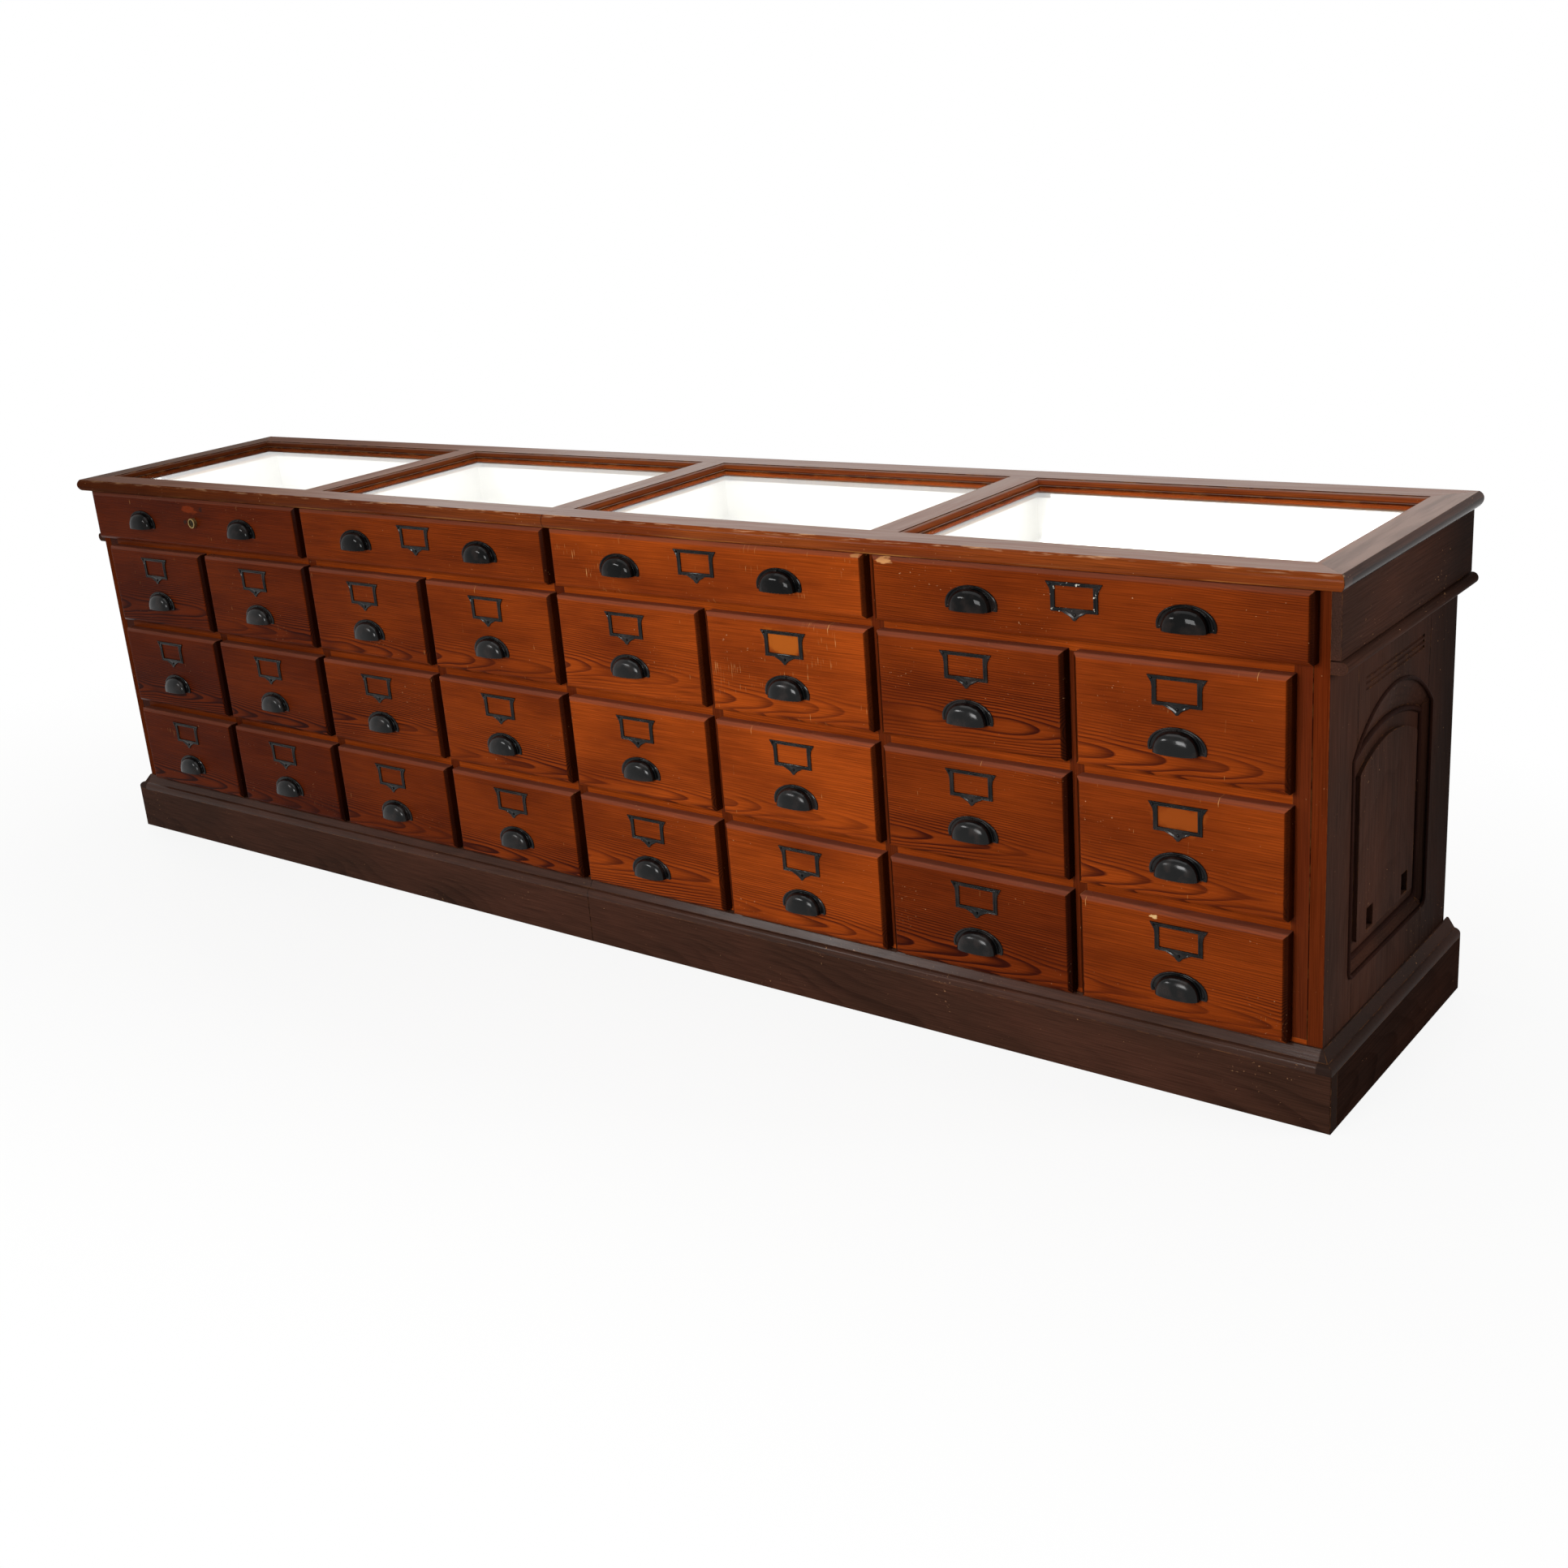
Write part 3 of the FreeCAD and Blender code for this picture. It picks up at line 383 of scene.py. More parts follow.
def cup_flange(centre, sizes):
    """A crescent plate with a raised rim, between the cup's outline and a wider ellipse."""
    outer_foot = np.arcsin((sizes.flange_foot - sizes.flange_centre) / sizes.flange_rise)
    inner_foot = np.arcsin(sizes.flange_foot / sizes.cup_height)
    wall = sizes.cup_wall / 2
    hole = half_ellipse(inner_foot, sizes.cup_width / 2 - wall, 0, sizes.cup_height - wall)
    outline = half_ellipse(outer_foot, sizes.flange_width / 2, sizes.flange_centre, sizes.flange_rise)
    section = [(0, 0), (0, 0.8), (0.62, 0.8), (0.72, 1.2), (0.88, 1.2), (1, 0.8), (1, 0)]
    return plate(hole, outline, section, sizes.flange_thickness, centre)


def label_frame(centre, sizes):
    """A cast frame with a bead, a groove and a rim, between a window's outline and an outer one with
    flared ears and a pointed pendant."""
    half, top = sizes.label_width / 2, sizes.label_height
    ear, drop = sizes.label_ear, sizes.label_pendant
    bar, rail = 0.0075, 0.006
    right = np.array([
        # Outer corner and the window's place that it is joined to
        ((half + ear, top), (half - bar, top - rail)),
        ((half + ear * 0.7, top - 0.004), (half - bar, top - rail - 0.001)),
        ((half + ear * 0.15, top - 0.011), (half - bar, top - rail - 0.008)),
        ((half, top - 0.018), (half - bar, top - rail - 0.014)),
        ((half, 0), (half - bar, rail)),
        ((0.021, 0), (0.019, rail)),
        ((0.013, -drop * 0.3), (0.012, rail)),
        ((0.007, -drop * 0.55), (0.006, rail)),
        ((0.0015, -drop), (0.0015, rail)),
    ])
    left = right[::-1] * np.array([-1, 1])
    outline, window = np.moveaxis(np.concatenate([right, left]), 1, 0)
    bead = [(0, 0), (0, 0.7), (0.08, 0.95), (0.2, 1), (0.32, 0.9)]
    groove = [(0.42, 0.5), (0.55, 0.45), (0.7, 0.5)]
    rim = [(0.82, 0.85), (0.93, 0.9), (1, 0.7), (1, 0)]
    return plate(window, outline, bead + groove + rim, sizes.label_thickness, centre, ring=True)


def screw_head(centre, radius):
    """A low dome: circles that shrink by the cosine and rise by the sine of a growing angle."""
    rise = np.radians([0, 30, 60, 88])[:, None]
    around = np.linspace(0, 2 * math.pi, 9)[:-1]
    rows = np.empty((rise.size, around.size, 3))
    rows[..., X] = radius * np.cos(rise) * np.cos(around)
    rows[..., Y] = -radius * 0.45 * np.sin(rise) * np.ones_like(around)
    rows[..., Z] = radius * np.cos(rise) * np.sin(around)
    return Skin(rows + centre)


def arch_bead(low, high, rise, face, outwards, radius, corner):
    """A round bead along an arch-headed outline: the outline, moved in by a circle's reach and lifted by
    its height. Quarter circles turn the foot's corners, and the head is an arc through the two springs
    and the crown."""
    swing = np.radians(np.linspace(-30, 210, 11))[:, None]
    inset = -radius * np.cos(swing)
    half, middle = (high[0] - low[0]) / 2, (high[0] + low[0]) / 2
    bend = (half ** 2 + rise ** 2) / (2 * rise)
    turn = np.radians(np.linspace(0, 90, 6))
    reach = (corner - inset) * np.ones_like(turn)
    foot = half - corner + reach * np.sin(turn)
    lift = low[1] + corner - reach * np.cos(turn)
    across = (half - inset) * np.cos(np.linspace(0, math.pi, 25))
    head = high[1] - bend + np.sqrt((bend - inset) ** 2 - across ** 2)
    rows = np.empty((swing.size, 2 * turn.size + across.shape[1], 3))
    rows[..., X] = face + outwards * radius * np.sin(swing)
    rows[..., Y] = middle + np.hstack([foot, across, -foot[:, ::-1]])
    rows[..., Z] = np.hstack([lift, head, lift[:, ::-1]])
    return Skin(rows, ring=True)


def piece(name, skins, material, body, replaced=()):
    """One object of the cabinet, made of closed surfaces and carried by a body of the frame."""
    start = np.cumsum([0] + [len(skin.points) for skin in skins])
    faces = []
    for first, skin in zip(start, skins):
        faces += (skin.quads + first).tolist() + [(cap + first).tolist() for cap in skin.caps]
    mesh = bpy.data.meshes.new(name)
    mesh.from_pydata(np.concatenate([skin.points for skin in skins]).tolist(), [], faces)
    places = np.concatenate([skin.grain for skin in skins]).astype(np.float32)
    grain = mesh.attributes.new("grain", "FLOAT_VECTOR", "POINT")
    grain.data.foreach_set("vector", places.ravel())
    for label in ("tone", "worn"):
        shade = mesh.attributes.new(label, "FLOAT", "POINT")
        shade.data.foreach_set("value", np.concatenate([
            np.full(len(skin.points), getattr(skin, label), np.float32) for skin in skins
        ]))
    mesh.polygons.foreach_set("use_smooth", np.ones(len(faces), bool))
    mesh.set_sharp_from_angle(angle=ARRIS_ANGLE)
    mesh.materials.append(material)
    item = bpy.data.objects.new(name, mesh)
    bpy.context.scene.collection.objects.link(item)
    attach(item, body)
    if replaced:
        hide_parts(*replaced)


# Finishes

def join(tree, item, links):
    """Join or set a node's inputs, which are named or given in order."""
    named = links if isinstance(links, dict) else dict(enumerate(links))
    for socket, value in named.items():
        if isinstance(value, bpy.types.NodeSocket):
            tree.links.new(value, item.inputs[socket])
        else:
            item.inputs[socket].default_value = value


def add(tree, kind, links=(), out=0, stops=(), **settings):
    """Add a node with its settings and links, and give one of its outputs, or all where none is named.

    Stops are the steps of a ramp. A map range takes a value, the range that it comes from and the range
    that it goes to, which is 0 to 1 where it isn't given. A mix takes a share and two colours, the inputs
    0, 6 and 7, and its colour is the output 2."""
    item = tree.nodes.new("ShaderNode" + kind)
    for name, value in settings.items():
        setattr(item, name, value)
    for place, (position, shade) in enumerate(stops):
        step = item.color_ramp.elements[place] if place < 2 else item.color_ramp.elements.new(position)
        step.position = position
        step.color = (shade, shade, shade, 1)
    join(tree, item, links)
    return item.outputs if out is None else item.outputs[out]


def new_finish(name):
    """An empty material, its nodes, its shader and the place on the object."""
    material = bpy.data.materials.new(name)
    material.use_nodes = True
    tree = material.node_tree
    return material, tree, tree.nodes["Principled BSDF"], add(tree, "TexCoord", out="Object")


def rgba(value):
    """A colour with full cover, from its three parts or its hex digits."""
    return tuple(linear(value) if isinstance(value, str) else value) + (1.0,)


class Pine:
    """Plain-sawn pine: rings about the tree's heart, cut by the board into flames and straight lines, with
    long fibres and darker patches. Coats of wear, dirt and painted light and shade go over it in turn,
    each a share, a colour and a way of mixing."""

    def __init__(self, name, grain, tints, contrast=1.0, boards=None, other=None, flames=False):
        """The grain is an axis, or follows each piece's own grain. The tints are those of early wood, late
        wood and darker patches. Boards is the width of boards that stand side by side. Other is an axis, a
        place on it and the tints before that place. With flames, darker boards have stronger lines."""
        self.material, self.tree, self.shader, self.here = new_finish(name)
        self.face = self.add("NewGeometry", out="Normal")
        self.looks = self.add("SeparateXYZ", (self.face,), None)
        spot = self.add("SeparateXYZ", (self.here,), None)
        self.where = {axis: spot[axis] for axis in "XYZ"}
        # Both ways from the middle of the cabinet's length
        self.where["ends"] = self.add("Math", (spot["X"],), operation="ABSOLUTE")
        self.along = self.board_axes(grain, boards)
        split = self.add("SeparateXYZ", (self.along,), None)
        self.where["across"] = split["Y"]
        self.soft = self.add("Bevel", {"Radius": 0.0016}, samples=4)
        self.lines = self.growth_lines(split, contrast, flames)
        # Fibres about 2 mm wide, drawn coarser than real ones so that they show
        self.fibre = self.noise((9.0, 480.0, 480.0), 3.0)
        streak = self.add("MapRange", (self.fibre, 0.3, 0.7, 0.70, 1.20))
        dark = self.add("MapRange", (self.noise((3.0, 7.0, 7.0), 4.0), 0.42, 0.72, 0.0, 0.75))
        self.early, late, deep = self.tinted(tints, other)
        self.coats = [(self.lines, late, "MIX"), (dark, deep, "MIX")]
        self.darken(streak)
        if grain == "piece":
            # Some boards are darker and redder than others; on the fronts this also carries a painted
            # shade, darker towards the far end
            tone = self.add("Attribute", out="Fac", attribute_name="tone")
            red = self.add("Mix", {0: tone, 6: (1, 1, 1, 1), 7: (0.36, 0.30, 0.36, 1)}, 2, data_type="RGBA")
            self.darken(red)

    def add(self, kind, links=(), out=0, **settings):
        """Add a node to this wood."""
        return add(self.tree, kind, links, out, **settings)

    def cover(self, tint, *shares):
        """Lay a coat of a colour, as much of it as the shares give when multiplied."""
        total = shares[0]
        for share in shares[1:]:
            total = self.add("Math", (total, share), operation="MULTIPLY")
        self.coats.append((total, rgba(tint), "MIX"))

    def darken(self, share):
        """Lay a coat that leaves a share of the colour under it."""
        self.coats.append((1.0, share, "MULTIPLY"))

    def noise(self, scale, detail=2.0):
        """Noise whose size along, across and through the board is one over the scale."""
        stretched = self.add("Mapping", {"Vector": self.along, "Scale": scale})
        return self.add("TexNoise", {
            "Vector": stretched, "Scale": 1.0, "Detail": detail, "Roughness": 0.55,
        }, "Fac")

    def board_axes(self, grain, boards):
        """The board's own coordinates in metres: along the grain, across it and through it."""
        if grain == "piece":
            return self.add("Attribute", out="Vector", attribute_name="grain")
        places = [self.where[axis] for axis in {"x": "XZY", "y": "YZX", "z": "ZXY"}[grain]]
        if boards:
            # Each board is measured from its own middle and cut from another length of the tree
            count = self.add("Math", (self.where["X"], 1 / boards), operation="MULTIPLY")
            number = self.add("Math", (count,), operation="FLOOR")
            share = self.add("Math", (count,), operation="FRACT")
            places[0] = self.add("Math", (number, 0.73, places[0]), operation="MULTIPLY_ADD")
            places[1] = self.add("Math", (share, boards, -boards / 2), operation="MULTIPLY_ADD")
        return self.add("CombineXYZ", places)

    def tinted(self, tints, other):
        """The tints, which change to others before a place on an axis."""
        tints = [rgba(tint) for tint in tints]
        if not other:
            return tints
        axis, place, others = other
        near = self.add("Math", (self.where[axis], place), operation="LESS_THAN")
        return [
            self.add("Mix", {0: near, 6: tint, 7: rgba(change)}, 2, data_type="RGBA")
            for tint, change in zip(tints, others)
        ]

    def growth_lines(self, split, contrast, flames):
        """Growth rings under 4 mm apart, bent by some 4 mm over a third of a metre. They are strong in
        patches and weaken away from the heart of the board."""
        plane = self.add("CombineXYZ", {"Y": split["Y"], "Z": split["Z"]})
        radius = self.add("VectorMath", (plane,), "Value", operation="LENGTH")
        bend = self.add("Math", (self.noise((3.0, 6.0, 6.0)), 0.018, radius), operation="MULTIPLY_ADD")
        taper = self.add("Math", (split["X"], 0.034, bend), operation="MULTIPLY_ADD")
        rings = self.add("Math", (taper, 1 / RING_PITCH), operation="MULTIPLY")
        year = self.add("Math", (rings,), operation="FRACT")
        line = self.add("ValToRGB", {"Fac": year}, stops=(
            (0.0, 0.0), (1.0, 0.05), (0.45, 0.12), (0.80, 0.85), (0.93, 1.0),
        ))
        patch = self.add("MapRange", (self.noise((2.2, 9.0, 9.0)), 0.36, 0.64, 0.3, 1.0))
        far = self.add("MapRange", (split["Y"], 0.02, 0.10, contrast, 0.45 * contrast),
                       interpolation_type="SMOOTHSTEP")
        strength = self.add("Math", (patch, far), operation="MULTIPLY")
        if flames:
            tone = self.add("Attribute", out="Fac", attribute_name="tone")
            more = self.add("Math", (tone, 0.6, 0.9), operation="MULTIPLY_ADD")
            strength = self.add("Math", (strength, more), operation="MULTIPLY")
        return self.add("Math", (line, strength), operation="MULTIPLY")

    def fade(self, axis, start, end, left):
        """Darken the wood before the end of a stretch, down to the share that is left where it starts: a
        painted shade.
        """
        self.darken(self.add("MapRange", (self.where[axis], start, end, left, 1.0)))

    def joints(self, *places):
        """Dark lines about 2 mm wide where two boards meet, at places on an axis."""
        for axis, joint in places:
            beyond = self.add("Math", (self.where[axis], joint), operation="SUBTRACT")
            gap = self.add("Math", (beyond,), operation="ABSOLUTE")
            self.darken(self.add("MapRange", (gap, 0.0005, 0.0014, 0.22, 1.0)))

    def edge_stain_shade_and_sheen(self):
        """End grain, at the left and right edges, has drunk more stain and is darkened further by painted
        shade, and dust with a painted sheen pales the upper edges.
        """
        sideways = self.add("Math", (self.looks["X"],), operation="ABSOLUTE")
        self.darken(self.add("MapRange", (sideways, 0.35, 0.62, 1.0, 0.16)))
        self.cover(DUST_AND_SHEEN, self.add("MapRange", (self.looks["Z"], 0.35, 0.7, 0.0, 0.55)))

    def top_wear_sheen_and_shade(self, tint):
        """Faces that look up are scuffed and carry a painted sheen, both less at the far end, and dirt with
        painted shade darkens the steps round the panes. The nose has pale flecks above, chips and painted
        glints, and is worn to bare wood in long streaks below."""
        up, ahead = self.looks["Z"], self.where["Y"]
        used_and_lit = self.add("MapRange", (self.where["X"], -1.2, -0.5, 0.4, 1.0))
        level = self.add("MapRange", (up, 0.80, 0.99, 0.0, 0.9))
        streaky = self.add("MapRange", (self.noise((6.0, 70.0, 70.0), 4.0), 0.35, 0.6, 0.62, 1.0))
        self.cover(tint, level, used_and_lit, streaky)
        # The steps round the panes are darkened by dirt and painted shade
        steep = self.add("MapRange", (up, 0.05, 0.25, 0.3, 1.0))
        outside = self.add("Math", (ahead, STEPS_FRONT), operation="LESS_THAN")
        self.darken(self.add("Math", (steep, outside), operation="MAXIMUM"))
        nose = self.add("MapRange", (ahead, NOSE_TURN, NOSE_TIP))
        # Above the nose, pale flecks that are chips and painted glints; below, streaks worn to bare wood
        for turn, reach, size, shade in ((0.75, -0.30, 24.0, NOSE_FLECK_AND_GLINT), (-0.75, 0.35, 6.0, NOSE_STREAK)):
            near = self.add("MapRange", (up, turn + reach, turn))
            torn = self.add("MapRange", (self.noise((size, 240.0, 240.0), 4.0), 0.52, 0.66, 0.0, 0.75))
            self.cover(shade, near, torn, nose, used_and_lit)

    def rubbed_edges(self, tint, most):
        """Pale wood where a rounded edge turns away from its flat face, and pale flecks up to 3 mm across
        where the finish is knocked off."""
        facing = self.add("VectorMath", (self.face, self.soft), "Value", operation="DOT_PRODUCT")
        edge = self.add("MapRange", (facing, 0.995, 0.90, 0.0, most))
        torn = self.add("MapRange", (self.noise((40.0, 60.0, 60.0), 4.0), 0.46, 0.62))
        self.cover(tint, edge, torn)
        knocked = self.add("MapRange", (self.noise((8.0, 10.0, 10.0)), 0.52, 0.66, 0.78, 0.68))
        specks = self.noise((190.0, 260.0, 260.0))
        self.cover(FLECK, self.add("MapRange", (specks, knocked, 0.80, 0.0, 0.9)))

    def scratches(self):
        """Scratches half a millimetre wide and some 40 mm long, on the boards that are knocked about."""
        worn = self.add("Attribute", out="Fac", attribute_name="worn")
        rough = self.add("Math", (self.noise((9.0, 12.0, 1.0)), worn), operation="ADD")
        reach = self.add("MapRange", (rough, 0.60, 0.75, 0.80, 0.64))
        strokes = self.noise((420.0, 30.0, 1.0), 1.0)
        self.cover(SCRATCH, self.add("MapRange", (strokes, reach, 0.84, 0.0, 0.9)))

    def chip(self, middle, size, shade):
        """A bare spot with a ragged edge: its distance from the middle, in sizes, is torn by noise."""
        (across, level), (reach, rise) = middle, size
        away = self.add("VectorMath", (self.here, (across, 0, level)), operation="SUBTRACT")
        spread = self.add("VectorMath", (away, (1 / reach, 0, 1 / rise)), operation="MULTIPLY")
        far = self.add("VectorMath", (spread,), "Value", operation="LENGTH")
        torn = self.noise((1.3 / reach, 0.9 / rise, 0.9 / rise), 5.0)
        ragged = self.add("Math", (torn, 2.2, far), operation="MULTIPLY_ADD")
        self.cover(shade, self.add("MapRange", (ragged, 1.70, 2.0, 0.85, 0.0)))

    def done(self, roughness, gloss, dulled=None):
        """Lay the coats and give the surface its shine and a slight relief. Dulled is an axis, the stretch
        of it over which the wood gets its shine, and the roughness where that starts."""
        tint = self.early
        for share, coat, way in self.coats:
            tint = self.add("Mix", {0: share, 6: tint, 7: coat}, 2, data_type="RGBA", blend_type=way)
        cloud = self.noise((5.0, 16.0, 16.0), 3.0)
        dull = self.add("MapRange", (cloud, 0.3, 0.7, roughness * 0.8, roughness * 1.35))
        if dulled:
            axis, start, end, dullest = dulled
            dull = self.add("MapRange", (self.where[axis], start, end, dullest, dull))
        relief = self.add("Math", (self.lines, 0.6, self.fibre), operation="MULTIPLY_ADD")
        bump = self.add("Bump", {
            "Height": relief, "Strength": 0.16, "Distance": 0.0006, "Normal": self.soft,
        })
        join(self.tree, self.shader, {
            "Base Color": tint, "Roughness": dull, "Specular IOR Level": gloss, "Normal": bump,
        })
        return self.material


def shellacked_pine(grain):
    """Pine under old shellac: a warm orange-brown with dark flames of late wood and a dull shine."""
    tints = bpy.context.scene.cabinet_finish
    early = tints.shellac_frame if grain == "z" else tints.shellac
    fronts = grain == "piece"
    wood = Pine(f"shellacked_pine_{grain}", grain, (early, tints.shellac_late, tints.shellac_deep),
                contrast=1.15, flames=fronts)
    if fronts:
        wood.edge_stain_shade_and_sheen()
    else:
        # Painted shade: darker towards the far end, where the light falls off
        wood.fade("X", start=-1.4, end=-0.5, left=0.45)
    if grain == "z":
        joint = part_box("end_frame_right")[0][X]
        wood.joints(("X", -joint), ("X", joint))
    wood.rubbed_edges(tints.rubbed, 0.35)
    if fronts:
        wood.scratches()
        for chip in CHIPS:
            wood.chip(*chip)
    return wood.done(roughness=0.32, gloss=0.02)


def stained_pine(grain, polish=0.001, roughness=0.30, suffix="", end=None):
    """Pine under dark stain: nearly black-brown, with faint grain and pale flecks at knocked edges. Past
    the end, a distance from the cabinet's middle, it is duller and darkened by painted shade; elsewhere
    painted shade darkens it towards the rear."""
    tints = bpy.context.scene.cabinet_finish
    stile_inside, stile_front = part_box("end_frame_right")[0][:2]
    panel_front, panel_back = (corner[Y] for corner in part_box("end_panel_right"))
    early = tints.stain if grain == "x" else tints.stain_end
    # The stiles' front edges are shellacked
    shellac = (tints.shellac_frame, tints.shellac_late, tints.shellac_deep)
    ahead = ("Y", stile_front + STILE_EDGE, shellac) if grain == "z" else None
    wood = Pine(f"stained_pine_{grain}{suffix}", grain, (early, tints.stain_late, tints.stain_deep),
                contrast=0.8, other=ahead)
    # Painted shade: darker past the end, or else towards the rear
    if end:
        wood.fade("ends", start=end, end=end - END_STRETCH, left=0.4)
    else:
        wood.fade("Y", start=0.25, end=-0.05, left=0.3)
    if grain == "x":
        wood.joints(("X", 0.0))
    if grain == "z":
        wood.joints(("X", -stile_inside), ("X", stile_inside), ("Y", panel_front), ("Y", panel_back))
    wood.rubbed_edges(tints.rubbed, 0.30)
    return wood.done(roughness, polish, dulled=("ends", end, end - END_STRETCH, 0.7) if end else None)


def top_pine(grain, stained=False):
    """Varnished pine of the counter's top: orange-brown at its edges, worn grey-brown with a painted sheen
    above.
    """
    tints = bpy.context.scene.cabinet_finish
    bright = (tints.top, tints.top_late, tints.shellac_deep)
    dark = (tints.stain_end, tints.stain_late, tints.stain_deep)
    # The end rails are stained outside and plain inside
    inside = ("ends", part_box("top_end_rails")[1][X] - STAINED_RAIL, bright)
    wood = Pine(f"top_pine_{grain}{'_stained' * stained}", grain, dark if stained else bright,
                other=inside if stained else None)
    # Painted shade: darker towards the far end, where the light falls off
    wood.fade("X", start=-1.4, end=0.4, left=0.30)
    wood.joints(("X", 0.0))
    wood.top_wear_sheen_and_shade(tints.top_worn_and_sheen)
    wood.rubbed_edges(tints.rubbed, 0.4)
    return wood.done(roughness=0.16, gloss=0.03, dulled=("X", -1.1, -0.3, 0.7))


def bare_pine(grain):
    """Unfinished pine: pale, dry and matt, with soft grain, and joints between the boards of the back."""
    tints = bpy.context.scene.cabinet_finish
    width = 2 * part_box("back_boards")[1][X] / BACK_BOARDS
    upright = grain == "z"
    wood = Pine(f"bare_pine_{grain}", grain, (tints.bare, tints.bare_late, tints.bare_late), contrast=0.8,
                boards=width if upright else None)
    if upright:
        wood.joints(("across", -width / 2), ("across", width / 2))
    return wood.done(roughness=0.62, gloss=0.25)


def japanned_iron(name, sharpest, dullest, shine):
    """Cast iron under black japan: glossy black, worn to brown-grey in patches, slightly pitted."""
    tints = bpy.context.scene.cabinet_finish
    material, tree, shader, here = new_finish(name)
    # Worn patches about 20 mm across, pits about 2 mm apart and specks of paint about 4 mm across
    patch, pits, specks = [
        add(tree, "TexNoise", {"Vector": here, "Scale": scale, "Detail": detail}, "Fac")
        for scale, detail in ((45.0, 4.0), (480.0, 2.0), (130.0, 3.0))
    ]
    worn = add(tree, "MapRange", (patch, 0.48, 0.66))
    # White paint shows where a fitting has caught some
    caught = add(tree, "Attribute", out="Fac", attribute_name="worn")
    most = add(tree, "Math", (specks, caught), operation="ADD")
    paint = add(tree, "MapRange", (most, 0.80, 0.83))
    tint = rgba(tints.iron)
    for share, coat in ((worn, tints.iron_worn), (paint, WHITE_PAINT)):
        tint = add(tree, "Mix", {0: share, 6: tint, 7: rgba(coat)}, 2, data_type="RGBA")
    dull = add(tree, "MapRange", (patch, 0.4, 0.7, sharpest, dullest))
    soft = add(tree, "Bevel", {"Radius": 0.0009}, samples=4)
    bump = add(tree, "Bump", {"Height": pits, "Strength": 0.10, "Distance": 0.0003, "Normal": soft})
    join(tree, shader, {"Base Color": tint, "Roughness": dull, "Specular IOR Level": shine, "Normal": bump})
    return material


def old_brass(name, tint):
    """Tarnished brass: a dull yellow-brown metal, darker in patches."""
    tints = bpy.context.scene.cabinet_finish
    material, tree, shader, here = new_finish(name)
    # Tarnish in patches about 5 mm across
    patch = add(tree, "TexNoise", {"Vector": here, "Scale": 200.0, "Detail": 4.0}, "Fac")
    base = add(tree, "Mix", {0: patch, 6: rgba(tint), 7: rgba(tints.iron_worn)}, 2, data_type="RGBA")
    dull = add(tree, "MapRange", (patch, 0.0, 1.0, 0.3, 0.6))
    join(tree, shader, {"Base Color": base, "Roughness": dull, "Metallic": 1.0})
    return material


def lining_paper():
    """White lining paper: matt, with faint clouds and fibres."""
    tints = bpy.context.scene.cabinet_finish
    material, tree, shader, here = new_finish("lining_paper")
    # Clouds about 30 mm across
    cloud = add(tree, "TexNoise", {"Vector": here, "Scale": 33.0, "Detail": 6.0}, "Fac")
    shade = add(tree, "MapRange", (cloud, 0.3, 0.7, 0.95, 1.0))
    base = add(tree, "Mix", {0: 1.0, 6: rgba(tints.paper), 7: shade}, 2, data_type="RGBA",
               blend_type="MULTIPLY")
    join(tree, shader, {"Base Color": base, "Roughness": 0.9})
    return material


def window_glass():
    """Clear sheet glass: it mirrors the room at a low view, and lamps shine through it."""
    material, tree, shader, here = new_finish("window_glass")
    # Smears of polish about 100 mm across
    smear = add(tree, "TexNoise", {"Vector": here, "Scale": 10.0, "Detail": 3.0}, "Fac")
    dull = add(tree, "MapRange", (smear, 0.0, 1.0, 0.0, 0.04))
    join(tree, shader, {
        "Base Color": rgba(CLEAR_GLASS), "Transmission Weight": 1.0, "IOR": 1.5, "Roughness": dull,
    })
    shadow = add(tree, "LightPath", out="Is Shadow Ray")
    pane = add(tree, "MixShader", (shadow, shader.outputs[0], add(tree, "BsdfTransparent")))
    join(tree, tree.nodes["Material Output"], {"Surface": pane})
    return material


def finish_nodes(material, *names):
    """Put a finish on pieces that the frame carries over."""
    for name in names:
        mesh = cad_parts[name].data
        mesh.materials.clear()
        mesh.materials.append(material)


# The cabinet's drawers, as the frame places them

class Drawer:
    """Where one drawer's front and box are."""

    def __init__(self, node, middle, wide, shade):
        sizes = bpy.context.scene.cabinet_drawers
        low, high = (np.array(corner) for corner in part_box(node))
        self.node = self.body = node
        self.wide = wide
        self.middle = middle
        self.wall = high[Y] - sizes.box_length
        self.face = self.wall - sizes.face_thickness
        self.low = np.array([low[X], self.face, low[Z]])
        self.high = np.array([high[X], self.wall, high[Z]])
        self.box_width = sizes.wide_box_width if wide else sizes.small_box_width
        self.box_height = sizes.wide_box_height if wide else sizes.small_box_height
        self.box_foot = low[Z] + sizes.face_lap
        self.shade = shade
        # Each board has its own place in the tree
        self.seed = abs(math.sin(12.9898 * middle + 78.233 * low[Z])) * 43.7

    def fitting(self, offset, height):
        """A place on the front: across from its middle, and above its foot."""
        return np.array([(self.low[X] + self.high[X]) / 2 + offset, self.face, self.low[Z] + height])


def drawers():
    """Every drawer, the wide ones first."""
    pitch = bpy.context.scene.cabinet_drawers.column_pitch
    for number in range(WIDE_DRAWERS):
        middle = (number - (WIDE_DRAWERS - 1) / 2) * 2 * pitch
        yield Drawer(f"drawer_top_{number + 1}", middle, True, COLUMN_TONE_AND_FALLOFF_SHADE[2 * number])
    for row in range(ROWS):
        for column in range(COLUMNS):
            middle = (column - (COLUMNS - 1) / 2) * pitch
            shade = min(1.0, COLUMN_TONE_AND_FALLOFF_SHADE[column] + LOWEST_ROW_SHADE * (row == ROWS - 1))
            yield Drawer(f"drawer_row_{row + 1}_col_{column + 1}", middle, False, shade)


